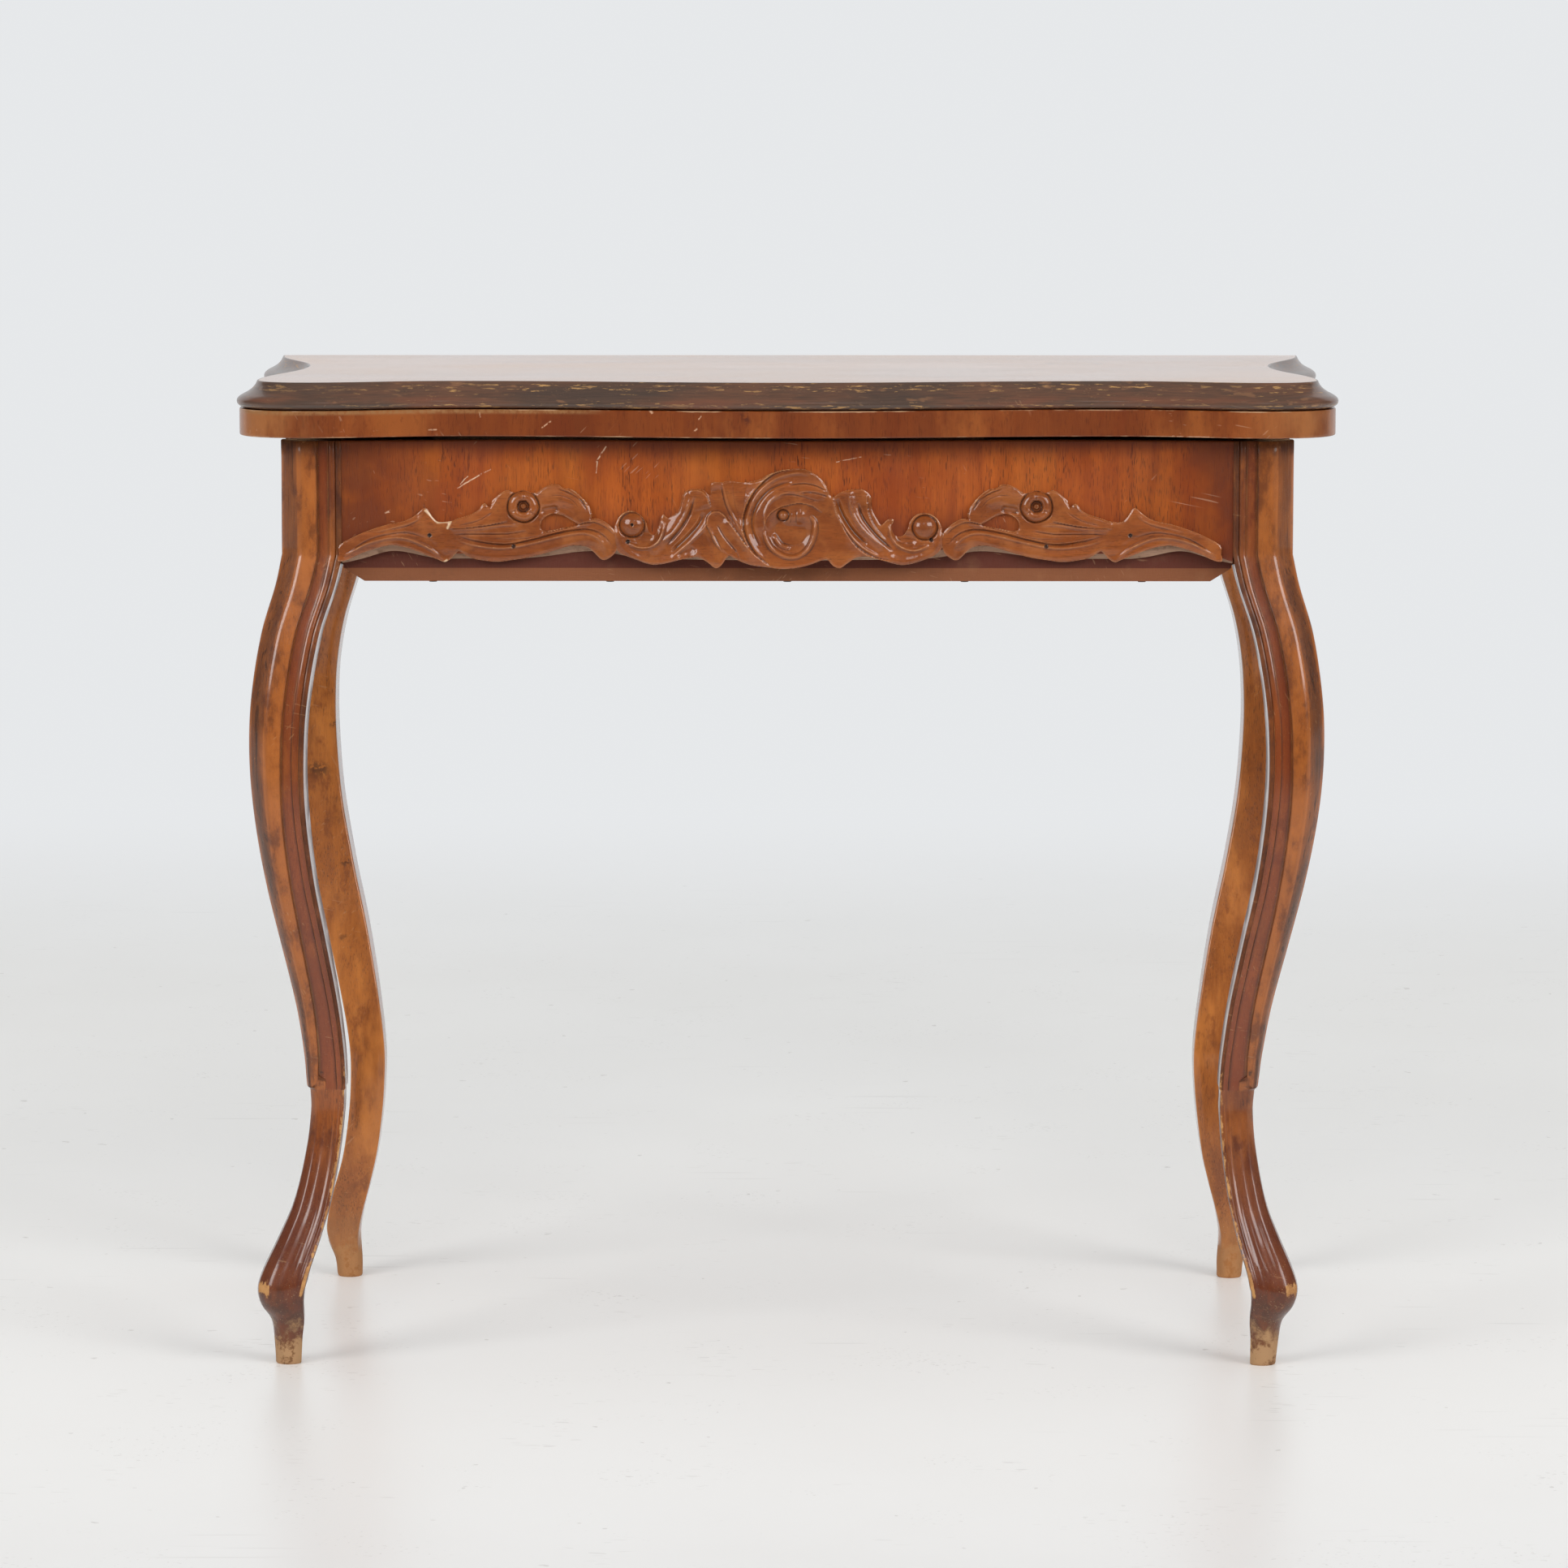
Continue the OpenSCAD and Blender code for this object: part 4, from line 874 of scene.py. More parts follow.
def leaf_half(steps):
    """Points and inward normals along the right half of a leaf, from the middle of its front."""
    ear_in, ear_side = (TOP_W / 2 - EAR_W, -LEAF_D), (TOP_W / 2, EAR_D - LEAF_D)
    hollow_front = (FRONT_HOLLOW_X, FRONT_HOLLOW - LEAF_D)
    hollow_side = (TOP_W / 2 - SIDE_HOLLOW, SIDE_HOLLOW_Y)
    hinge_end = (TOP_W / 2 + HINGE_SWELL, 0.0)
    ear = [ear_in, (ear_in[0] + EAR_W * EAR_PULL, ear_in[1]),
           (ear_side[0], ear_side[1] - EAR_D * EAR_PULL), ear_side]
    curves = [across((0.0, -LEAF_D), hollow_front), across(hollow_front, ear_in), ear,
              along(ear_side, hollow_side), along(hollow_side, hinge_end)]
    t = np.linspace(0, 1, steps, endpoint=False)[:, None]
    points, normals = [], []
    for curve in curves:
        p = np.array(curve)
        points.append(p[0] * (1 - t) ** 3 + 3 * p[1] * t * (1 - t) ** 2
                      + 3 * p[2] * t * t * (1 - t) + p[3] * t ** 3)
        way = (p[1] - p[0]) * (1 - t) ** 2 + 2 * (p[2] - p[1]) * t * (1 - t) + (p[3] - p[2]) * t * t
        normals.append(np.stack([-way[:, 1], way[:, 0]], 1) / np.linalg.norm(way, axis=1)[:, None])
    return (np.vstack(points + [np.array([hinge_end])]),
            np.vstack(normals + [np.array([[-1.0, 0.0]])]))


HALF, HALF_IN = leaf_half(26)


def leaf_ring(inset, z):
    """The whole outline, inset millimetres inside the nose, at height z."""
    half = HALF + HALF_IN * inset
    left = half[:0:-1] * (-1, 1)
    ring = np.vstack([left, half])
    return np.column_stack([ring[:, 0], ring[:, 1] + LEAF_BACK, np.full(len(ring), z)])


RING = len(leaf_ring(0, 0))
print("points in one outline", RING)

# %% [markdown]
# The section of the moulding runs from the flat top over a small soft arris into the hollow
# and round the nose. Old mouldings are never quite even, so the nose gets a slow wave of a
# tenth of a millimetre and dents where it was knocked.

# %% Upper leaf
def moulding_section():
    """Points (inset from the nose, drop from the top), smoothed through a few chosen ones."""
    chosen = np.array([(16.9, 0.0), (15.9, 0.12), (15.4, 0.9), (14.4, 3.0), (12.0, 5.9), (9.4, 7.9),
                       (6.7, 9.5), (4.3, 10.7), (2.2, 12.0), (0.6, 13.6), (0.0, 15.4), (0.5, 17.4),
                       (2.3, 19.2), (4.9, 20.2), (7.9, LEAF_T)])
    ends = np.vstack([2 * chosen[0] - chosen[1], chosen, 2 * chosen[-1] - chosen[-2]])
    points = []
    for p0, p1, p2, p3 in zip(ends, ends[1:], ends[2:], ends[3:]):
        points += [between(p0, p1, p2, p3, t) for t in (0.0, 0.33, 0.67)]
    points.append(chosen[-1])
    return [(max(0.0, float(p[0])), min(LEAF_T, max(0.0, float(p[1])))) for p in points]


section = moulding_section()
rings = []
for inset, drop in section:
    ring = leaf_ring(inset, TABLE_H - drop)
    if 1.0 < drop < LEAF_T - 0.5:
        for p in ring:
            wave = waver(p[0] * 0.03, p[1] * 0.03, drop * 0.2) * 0.12
            knock = min(0.0, waver(p[0] * 0.09, p[1] * 0.09, drop * 0.12 + 7) + 0.42) * 1.1
            p[2] += wave
            p[1] += -knock * 0.9 if p[1] < 60 else 0.0
    rings.append(ring)
rings.reverse()
upper_leaf = new_mesh("upper_leaf_moulded", np.vstack(rings), loft_faces(len(rings), RING), 50)
dressed(upper_leaf, moulding, top_veneer, inner_veneer, leaf_edge)
for face in upper_leaf.data.polygons:
    if face.normal.z > 0.9 and len(face.vertices) > 4:
        face.material_index = 1
    elif face.normal.z < -0.9 and len(face.vertices) > 4:
        face.material_index = 2
    elif face.normal.y > 0.9 and face.center.y > LEAF_BACK * MM - 0.001:
        face.material_index = 3

# %% [markdown]
# Each hinge lies in a pocket cut into the back edge of its leaf. The pockets are cut with
# the same sizes as the solids have, so the brass sits flush and the barrel stays free.

# %% Hinge pockets
HINGE_X, HINGE_L, HINGE_T, HINGE_H = TOP_W / 2 - 110, 64.0, 2.0, 16.0
TUBE_SIDES, EASE, AROUND_BARREL = 48, 0.05, 0.3


def tube_points(radius, x0, x1, y, z):
    turns = [2 * math.pi * i / TUBE_SIDES for i in range(TUBE_SIDES)]
    ring = [(math.cos(turn), math.sin(turn)) for turn in turns]
    return [(x, y + radius * c, z + radius * s) for x in (x0, x1) for c, s in ring]


def hinge_cutters(low, high):
    """Room for both hinges: a tube round each barrel, and a box from low to high."""
    cutters = []
    for x in (-HINGE_X, HINGE_X):
        left, right = x - HINGE_L / 2, x + HINGE_L / 2
        barrel = tube_points(BARREL_R + AROUND_BARREL, left - AROUND_BARREL, right + AROUND_BARREL,
                             HINGE_Y, HINGE_Z)
        cutters.append(new_mesh("cutter", barrel, loft_faces(2, TUBE_SIDES)))
        pocket = box_points((left - EASE, LEAF_BACK - HINGE_T - EASE, low),
                            (right + EASE, LEAF_BACK + 2, high))
        cutters.append(new_mesh("cutter", pocket, BOX_FACES))
    return cutters


carve_out(upper_leaf, hinge_cutters(HINGE_Z - 1, HINGE_Z + HINGE_H + EASE))
mark_bends(upper_leaf)
fit(upper_leaf, "folding_leaf", "upper_leaf")

# %% [markdown]
# The lower leaf has a square edge with arrises softened by wear. The broken veneer is a
# real recess, as deep as old veneer is thick, so it throws its own small shadow.

# %% Lower leaf
leaf_top, leaf_under = HINGE_Z - LEAF_GAP / 2, HINGE_Z - LEAF_GAP / 2 - LEAF_T
EDGE_IN = 2.0
arris = [(3.4, 0.0), (2.6, 0.12), (2.15, 0.5), (EDGE_IN, 1.1)]
section = arris + [(EDGE_IN, drop) for drop in np.linspace(2.5, LEAF_T - 2.5, 9)]
section += [(inset, LEAF_T - drop) for inset, drop in reversed(arris)]
rings = []
for inset, drop in section:
    ring = leaf_ring(inset, leaf_top - drop)
    if inset < 3 and 0.05 < drop < LEAF_T - 0.05:
        for p in ring:
            if p[1] < 120:
                p[1] += 0.18 * max(0.0, waver(p[0] * 0.05, p[1] * 0.05, drop * 0.15 + 3))
    rings.append(ring)
rings.reverse()
lower_leaf = new_mesh("lower_leaf_edged", np.vstack(rings), loft_faces(len(rings), RING), 40)
dressed(lower_leaf, leaf_edge, inner_veneer, under_pine, ground)
for face in lower_leaf.data.polygons:
    if len(face.vertices) > 4:
        face.material_index = 1 if face.normal.z > 0 else 2


def front_at(x):
    """Distance back to the front edge of the leaf at x."""
    return float(np.interp(abs(x), HALF[:130, 0], HALF[:130, 1])) + LEAF_BACK


CHIP_X, CHIP_DEPTH = -52.6, 0.8
chip = [(-4.6, 0.4), (-4.4, -2.4), (-4.7, -5.0), (-4.1, -8.2), (-2.9, -8.5), (-3.1, -11.6),
        (-2.0, -15.6), (-0.9, -16.2), (1.2, -15.9), (1.6, -13.0), (2.5, -11.8), (2.2, -9.3),
        (5.2, -8.8), (5.5, -5.6), (5.0, -2.2), (5.2, 0.4)]
front = front_at(CHIP_X) + EDGE_IN
chip_points = [(CHIP_X + px, y, leaf_top + pz)
               for y in (front - 3, front + CHIP_DEPTH) for px, pz in chip]
cutters = (hinge_cutters(HINGE_Z - HINGE_H - EASE, HINGE_Z + 1)
           + [new_mesh("cutter", chip_points, loft_faces(2, len(chip)))])
NICK = ((-1, 0.1), (-0.3, -1), (0.5, -0.8), (1, 0.2), (0.2, 1), (-0.6, 0.8))
NICKS_AT = ((-164.0, -0.6, 1.9), (-268.0, -20.4, 3.2), (-102.5, -0.2, 1.5), (303.0, -20.4, 3.6),
            (12.0, -20.5, 1.4))
for px, pz, wide in NICKS_AT:
    near = front_at(px) + EDGE_IN
    nick = [(px + wide * c, y, leaf_top + pz + wide * 0.55 * k)
            for y in (near - 2, near + 0.7) for c, k in NICK]
    cutters.append(new_mesh("cutter", nick, loft_faces(2, len(NICK))))
carve_out(lower_leaf, cutters)
low, high = (CHIP_X - 6) * MM, (CHIP_X + 7) * MM
for face in lower_leaf.data.polygons:
    inside = low < face.center.x < high and abs(face.center.y - (front + CHIP_DEPTH) * MM) < 0.0002
    if inside and abs(face.normal.y) > 0.9:
        face.material_index = 3
lower_leaf.data.set_sharp_from_angle(angle=math.radians(40))
mark_bends(lower_leaf)
fit(lower_leaf, "turning_top", "lower_leaf")

# %% [markdown]
# ## The shaped front
# The front waves in plan and is scalloped along its lower edge. Under the scallops it is
# bevelled back, which shows from the front as a pale strip where it mirrors the floor. It is
# a loft of upright sections from left to right.

# %% Shaped front
TOP_GAP, RAIL_H, BLOCK_W, SIDE_OVERHANG, FRONT_OVERHANG = 4.0, 98.0, 47.0, 34, 30
FACING_T, WAVE, WAVE_DEPTH, SCALLOP, BEVEL = 19, 410, 7, 20, 7
FRAME_TOP = leaf_under - TOP_GAP
RAIL_UNDER = FRAME_TOP - RAIL_H
LEG_X, LEG_Y = TOP_W / 2 - SIDE_OVERHANG, LEAF_D / 2 - FRONT_OVERHANG
GAP_X = LEG_X - BLOCK_W
CORE_FRONT = LEG_Y - FACING_T
MARKS = ((0, 0.5), (0.177, 0.55), (0.295, 0.6), (0.437, 1), (0.625, 0.55), (0.761, 0.55),
         (0.885, 1.025), (1.02, 0.25))


def edge_rise(x):
    """How far the scalloped edge stands above the rail's underside."""
    a = abs(x) / GAP_X
    k = max(i for i in range(len(MARKS) - 1) if a >= MARKS[i][0])
    (a0, z0), (a1, z1) = MARKS[k], MARKS[k + 1]
    return SCALLOP * (z0 + (z1 - z0) * ease((a - a0) / (a1 - a0)))


def face_y(x):
    """Where the wavy front lies in depth."""
    return MID_Y - LEG_Y + 0.5 + WAVE_DEPTH * (1 - math.cos(2 * math.pi * x / WAVE))


sections = []
back = MID_Y - CORE_FRONT
for x in np.linspace(-GAP_X, GAP_X, 421):
    y, rise = face_y(x), edge_rise(x)
    z = RAIL_UNDER + rise
    low = z - BEVEL * ease(rise / 21)
    bevel = min(y + 5, back - 1)
    upright = [(x, y, h) for h in np.linspace(FRAME_TOP - 0.9, z + 1.2, 12)]
    soft = [(x, y + 0.25, z + 0.35), (x, y + 0.9, z - 0.1)]
    slope = [(x, y + 0.9 + (bevel - y - 0.9) * t, z - 0.1 + (low - z + 0.1) * t)
             for t in (0.35, 0.7, 1.0)]
    sections.append([(x, y + 0.8, FRAME_TOP)] + upright + soft + slope
                    + [(x, back, low), (x, back, FRAME_TOP)])
count = len(sections[0])
shaped_front = new_mesh("shaped_front_veneered", np.vstack(sections),
                        loft_faces(len(sections), count), 30)
dressed(shaped_front, front_veneer, bare_bevel)
for face in shaped_front.data.polygons:
    if face.normal.z < -0.3:
        face.material_index = 1
mark_bends(shaped_front)
fit(shaped_front, "frame", "shaped_front")

# %% [markdown]
# ## The legs
# A cabriole leg is drawn as a double curve along its diagonal: the knee swells outward, the
# ankle draws in and the foot stands out. Its section changes on the way down. At the block
# it is square with a chamfer, a flat band beside it, and a bead next to the rail. Below the
# ankle the band ends in a round tongue and the corner carries soft flutes down to the toe.
# Each leg is a loft of such sections, three millimetres apart, through a smooth curve.

# %% Course of a leg
CURVE_H, BLOCK_H = 628.0, 87.0
LEG_FREE = FRAME_TOP - BLOCK_H
FRONT_STATIONS = [
    (0, 14, 21.5, 0.5, 1), (22, 14.4, 24.5, 0.5, 1), (35, 14.8, 28.5, 0.5, 0.95),
    (47, 18.6, 36, 0.5, 0.85), (60, 19.6, 40, 0.5, 0.7), (73, 16.8, 39, 0.5, 0.6),
    (99, 7.2, 34.5, 0.5, 0.5), (124, -0.7, 30.2, 0.5, 0.4), (163, -7.8, 27.6, 0.5, 0.35),
    (195, -10.4, 28, 0.5, 0.3), (211, -10, 29, 0.5, 0.25), (213, -10, 30, 0.24, 0.1),
    (220, -9.6, 30.6, 0.32, 0.05), (240, -8, 31.2, 0.38, 0), (278, -2.9, 32.8, 0.43, 0),
    (328, 6.8, 35.6, 0.47, 0), (379, 16.9, 37.6, 0.52, 0), (430, 23.7, 40.3, 0.56, 0),
    (475, 26, 42.4, 0.59, 0), (518, 24, 43.8, 0.6, 0), (568, 16, 45.2, 0.6, 0),
    (605, 5, 46.4, 0.6, 0), (CURVE_H, 0, BLOCK_W, 28.5 / 47, 0)]
BACK_STATIONS = [
    (0, 2, 20.5, 0, 1), (15, 3, 22.5, 0, 0.95), (28, 6.4, 27, 0, 0.6), (40, 7.2, 28.8, 0, 0.3),
    (60, 3.5, 29, 0, 0.1), (77, -1.1, 28.5, 0, 0), (104, -8.2, 27.5, 0, 0),
    (132, -12.7, 27.2, 0, 0), (163, -15.7, 27.5, 0, 0), (195, -16, 28.4, 0, 0),
    (241, -9.6, 30.5, 0, 0), (295, 1.1, 33.5, 0, 0), (349, 14.4, 36, 0, 0), (403, 25, 38, 0, 0),
    (457, 30.3, 40, 0, 0), (497, 30.7, 41.5, 0, 0), (524, 28.2, 42.5, 0, 0), (551, 23, 43.5, 0, 0),
    (577, 15, 44.5, 0, 0), (605, 6.5, 46, 0, 0), (CURVE_H, 0, BLOCK_W, 0, 0)]


def course(stations, step=3.0):
    """Rows of height, shift, width, band and roundness, smooth through the stations."""
    s = np.array(stations, float)
    slope = np.gradient(s[:, 1:3], axis=0) / np.gradient(s[:, 0])[:, None]
    for c in range(2):
        for i in range(1, len(s) - 1):
            slope[i, c] = (s[i + 1, c + 1] - s[i - 1, c + 1]) / (s[i + 1, 0] - s[i - 1, 0])
    rows = []
    for i in range(len(s) - 1):
        d = s[i + 1, 0] - s[i, 0]
        fine = 0.6 if 205 < s[i, 0] < 218 else step
        for u in np.linspace(0, 1, max(2, int(d / fine)), endpoint=False):
            curve = (s[i, 1:3] * (1 + 2 * u) * (1 - u) ** 2 + slope[i] * d * u * (1 - u) ** 2
                     + s[i + 1, 1:3] * u * u * (3 - 2 * u) - slope[i + 1] * d * u * u * (1 - u))
            straight = s[i, 3:] + (s[i + 1, 3:] - s[i, 3:]) * u
            rows.append((s[i, 0] + d * u, *curve, *straight))
    rows.append(tuple(s[-1]))
    return rows


# %% [markdown]
# The section of one face is a height profile over the width of the leg. From the inner
# arris it has a flat fillet, a quirk, a bead, a hollow, and then the proud band. Below the
# ankle the band is replaced by two soft flutes that fade towards the toe.

# %% Section of a front leg
def face_profile(h, share, bead=1.0):
    """Points (across, out) on one face, from the inner arris to the chamfer."""
    size = 2 * h / BLOCK_W
    band = 2 * h * share
    cut = band * 14 / 28.5
    base = h - 2.6 * size
    start = -h + 4.6 * size
    quirk = 1.3 * size
    end = h - band
    points = [(-h, base - 0.9 * size), (-h + 0.35 * size, base - 0.3 * size),
              (-h + 1.0 * size, base)]
    points += [(start - 0.7 * size, base), (start - 0.25 * size, base - 0.35 * size),
               (start, base - quirk)]
    wide = 5.4 * size
    for i in range(1, 12):
        a = math.pi * i / 12
        points.append((start + wide * (1 - math.cos(a)) / 2,
                       base - quirk + (quirk + 0.9 * size) * bead * math.sin(a) ** 0.8
                       - 0.25 * size * (1 - bead)))
    points.append((start + wide, base - quirk * 0.95))
    room = end - 0.5 * size - (start + wide)
    for i in range(1, 8):
        t = i / 8
        points.append((start + wide + room * t,
                       base - 0.95 * quirk - 0.45 * size * math.sin(math.pi * t)
                       - 0.25 * size * (1 - bead) * (1 - t)))
    points += [(end - 0.35 * size, base - 1.5 * size), (end - 0.05 * size, h - 1.2 * size),
               (end + 0.15 * size, h - 0.45 * size), (end + 0.7 * size, h - 0.22 * size),
               (end + 1.6 * size, h - 0.12 * size)]
    left, right = end + 1.6 * size, h - cut - 3.4 * size
    for t in (0.3, 0.6, 0.9):
        points.append((left + (right - left) * t, h - 0.06 * size * abs(2 * t - 1)))
    points += [(h - cut - 2.6 * size, h - 0.16 * size), (h - cut - 1.5 * size, h - 0.50 * size),
               (h - cut - 0.5 * size, h - 1.05 * size), (h - cut + 0.4 * size, h - 1.75 * size)]
    return np.array(points)


BAND, PROFILE = 26, 37
BEAD_ENDS = (480, 550)
FLUTES = ((-1.5, 0.135, 0.022), (0.5, 0.20, 0.035), (-1.6, 0.28, 0.030), (0.7, 0.42, 0.075),
          (-1.1, 0.60, 0.060))


def lower_profile(h, fade, sunk):
    """The same number of points, for the fluted section between the ankle and the toe."""
    size = 2 * h / BLOCK_W
    upper = face_profile(h, 0.5)
    points = []
    for place, _ in upper:
        t = (place + h) / (2 * h)
        out = h - 0.5 * size - 2.2 * size * sunk * 1.2
        if t < 0.10:
            out -= 0.7 * size * (1 - t / 0.10) ** 2
        for rise, middle, wide in FLUTES:
            out += fade * size * rise * math.exp(-((t - middle) / wide) ** 2)
        points.append((place, out))
    return np.array(points)


def both_faces(profile, h):
    """A whole section: two inner corner points, a face, the chamfer and the mirrored face."""
    end = profile[-1]
    chamfer = [end + (end[::-1] - end) * t + 0.5 * math.sin(math.pi * t)
               for t in (0.08, 0.35, 0.65, 0.92)]
    edge = (-h, profile[0, 1] - 4.0)
    return np.vstack([[(-h + 0.9, -h), (-h, -h + 0.9), edge], profile, chamfer, profile[::-1, ::-1],
                      [edge[::-1]]])


def turned(ring, h, roundness):
    """Pulls a section towards a circle."""
    length = np.linalg.norm(ring, axis=1)[:, None]
    return ring * (1 - roundness) + roundness * h * ring / length


TONGUE_END, TONGUE_R = 212.0, 8.0


def front_section(row):
    height, _, width, share, roundness = row
    h = width / 2
    profile = face_profile(h, max(share, 0.3), ease(ramp(height, *BEAD_ENDS)))
    upper = both_faces(profile, h)
    fade = ramp(height, 50, 90) * ramp(height, TONGUE_END, TONGUE_END - 50)
    sunk = ease(ramp(height, 150, 208))
    lower = both_faces(lower_profile(h, fade, sunk), h)
    into = np.clip((profile[:, 0] - profile[BAND, 0]) / TONGUE_R, 0, 1)
    end = TONGUE_END + TONGUE_R * (1 - np.sqrt(1 - (1 - into) ** 2))
    own = np.clip((height - end) / 1.2, 0, 1)
    own[:BAND] = ease(ramp(height, 205, 225))
    tip = np.full(4, own[-1])
    share_up = np.concatenate([own[:1], own[:1], own[:1], own, tip, own[::-1], own[:1]])[:, None]
    ring = lower * (1 - share_up) + upper * share_up
    return turned(ring, h, roundness * (0.8 if height > 60 else 1.0))


def front_zones(rings):
    """Where the band, the flute, the chamfer and the worn wood of the toe lie on each section."""
    found = {label: [] for label in ("band", "flute", "chamfer", "worn", "groove")}
    none = np.zeros(PROFILE)
    for ring in rings:
        z = ring[0, 2]
        high = ramp(z, 211, 213)
        band, flute, worn, groove = none.copy(), none.copy(), none.copy(), none.copy()
        band[BAND + 1:] = high
        flute[5:BAND - 1] = high
        flute[7:16] *= 1 - 0.7 * ramp(z, *BEAD_ENDS)
        groove[[4, 5, 17, 25]], groove[[3, 18, 24]] = high, 0.5 * high
        toe = 1.05 * math.exp(-((z - 62) / 5.5) ** 2)
        arris = 0.55 * ramp(z, 260, 200) * (z > 56) + 0.65 * math.exp(-((z - 68) / 10) ** 2) + 0.16
        worn[:4] = (arris, arris, arris, arris * 0.6)
        worn[-2:] = (toe * 0.5, toe)
        corner = np.array([0.5, 1, 1, 0.5]) * high
        for label, face, chamfer in (("band", band, [0.3] * 4), ("flute", flute, [0] * 4),
                                     ("groove", groove, [0] * 4), ("chamfer", none, corner),
                                     ("worn", worn, [toe] * 4)):
            found[label].append(np.concatenate([[0, 0, 0], face, chamfer, face[::-1], [0]]))
    return found


def stack_leg(stations, section, shift):
    """Sections from the floor up to the top of the block."""
    rings = []
    for row in course(stations):
        ring = section(row)
        out = row[1]
        lean = shift * (1 - row[0] / CURVE_H) ** 2
        z = row[0] * LEG_FREE / CURVE_H
        rings.append(np.column_stack([ring[:, 0] + out + lean, ring[:, 1] + out,
                                      np.full(len(ring), z)]))
    for z in np.linspace(LEG_FREE, FRAME_TOP, 16)[1:-1]:
        rings.append(np.column_stack([rings[-1][:, :2], np.full(len(ring), z)]))
    rings.append(np.column_stack([rings[-1][:, :2] * 0.985, np.full(len(ring), FRAME_TOP)]))
    rings[-2][:, 2] = FRAME_TOP - 0.5
    return rings


def place_leg(name, stations, section, x, y, shift, material, node, zones=None):
    rings = stack_leg(stations, section, shift)
    foot = rings[0].copy()
    middle = foot[:, :2].mean(0)
    foot[:, :2] = middle + (foot[:, :2] - middle) * 0.93
    rings[0][:, 2] = 0.9
    rings.insert(0, foot)
    count = len(foot)
    points = np.vstack(rings)
    seed = hash_of(node)
    for p in points:
        if 2 < p[2] < FRAME_TOP - 2:
            p[:2] += waver(p[0] * 0.04 + seed, p[1] * 0.04, p[2] * 0.018) * 0.22
    points[:, 0] = x * (points[:, 0] + LEG_X - BLOCK_W / 2)
    points[:, 1] = MID_Y + y * (points[:, 1] + LEG_Y - BLOCK_W / 2)
    faces = loft_faces(len(rings), count)
    if x * y < 0:
        faces = [tuple(reversed(f)) for f in faces]
    made = new_mesh(name, points, faces, 38)
    dressed(made, material)
    mark_bends(made, 1, 1.3)
    for label, rows in (zones(rings) if zones else {}).items():
        keep(made, label, np.concatenate(rows))
    return fit(made, "frame", node)


def hash_of(text):
    """A fixed number from a name, so that no two legs have the same unevenness."""
    return sum(ord(c) * (i + 1) for i, c in enumerate(text)) % 97


# %% Section of a back leg
def back_section(row):
    h = row[2] / 2
    ease_r = 2.2 * row[2] / BLOCK_W
    ring = []
    for quarter in range(4):
        turn = math.pi / 2 * quarter
        corner = [(h - ease_r + ease_r * math.sin(a), h - ease_r + ease_r * math.cos(a))
                  for a in np.linspace(0, math.pi / 2, 5)]
        flat = [(h, h * t) for t in (0.55, 0.2, -0.2, -0.55)]
        for px, py in corner + flat:
            ring.append((px * math.cos(turn) + py * math.sin(turn),
                         -px * math.sin(turn) + py * math.cos(turn)))
    ring = np.array(ring)[::-1]
    return turned(ring, h, row[4])


# %% The four legs
RACK = 9.0
place_leg("front_left_leg_carved", FRONT_STATIONS, front_section, -1, -1, RACK, front_leg_wood,
          "front_left_leg", front_zones)
place_leg("front_right_leg_carved", FRONT_STATIONS, front_section, 1, -1, -RACK, front_leg_wood,
          "front_right_leg", front_zones)
place_leg("back_left_leg_shaped", BACK_STATIONS, back_section, -1, 1, 0, back_leg_wood,
          "back_left_leg")
place_leg("back_right_leg_shaped", BACK_STATIONS, back_section, 1, 1, 0, back_leg_wood,
          "back_right_leg")

# %% [markdown]
# ## The carving
# The ornament is cut from separate flat pieces of wood and glued to the front: a scrolled
# centre and two leafy sprays, each with a small flower. A carver works such relief in
# strokes: swells and ridges left standing, cuts made with a gouge, dishes and round beads.
# The mesh does the same. A fine grid is laid over the outline, every stroke raises or
# lowers it along its own line, and the grid is then bent over the wavy front. Its border is
# moved onto the outline and closed with a wall that sinks into the wood behind.

# %% Strokes and outlines
def curve_through(points, closed=False, parts=4):
    """A smooth line through points."""
    p = np.array(points, float)
    n = len(p)
    rows = []
    for i in range(n if closed else n - 1):
        a, b, c, d = ((p[(i - 1) % n], p[i], p[(i + 1) % n], p[(i + 2) % n]) if closed else
                      (p[max(i - 1, 0)], p[i], p[i + 1], p[min(i + 2, n - 1)]))
        t = np.linspace(0, 1, parts, endpoint=False)[:, None]
        rows.append(between(a, b, c, d, t))
    if not closed:
        rows.append(p[-1:])
    return np.vstack(rows)


def near_line(grid, line, reach):
    """For each grid point: distance to a line, share along it, nearest point and side."""
    best = np.full(len(grid), 1e3)
    share, side = np.zeros(len(grid)), np.zeros(len(grid))
    near = grid.copy()
    ends = np.concatenate([[0], np.cumsum(np.linalg.norm(np.diff(line, axis=0), axis=1))])
    for i in range(len(line) - 1):
        a, b = line[i], line[i + 1]
        low, high = np.minimum(a, b) - reach, np.maximum(a, b) + reach
        chosen = np.flatnonzero((grid > low).all(1) & (grid < high).all(1))
        way, from_a = b - a, grid[chosen] - a
        t = np.clip((from_a @ way) / max(way @ way, 1e-12), 0, 1)
        spot = a + t[:, None] * way
        d = np.hypot(*(grid[chosen] - spot).T)
        closer = d < best[chosen]
        rows = chosen[closer]
        best[rows], near[rows] = d[closer], spot[closer]
        share[rows] = (ends[i] + t[closer] * (ends[i + 1] - ends[i])) / ends[-1]
        side[rows] = (way[0] * from_a[:, 1] - way[1] * from_a[:, 0])[closer]
    return best, share, near, side


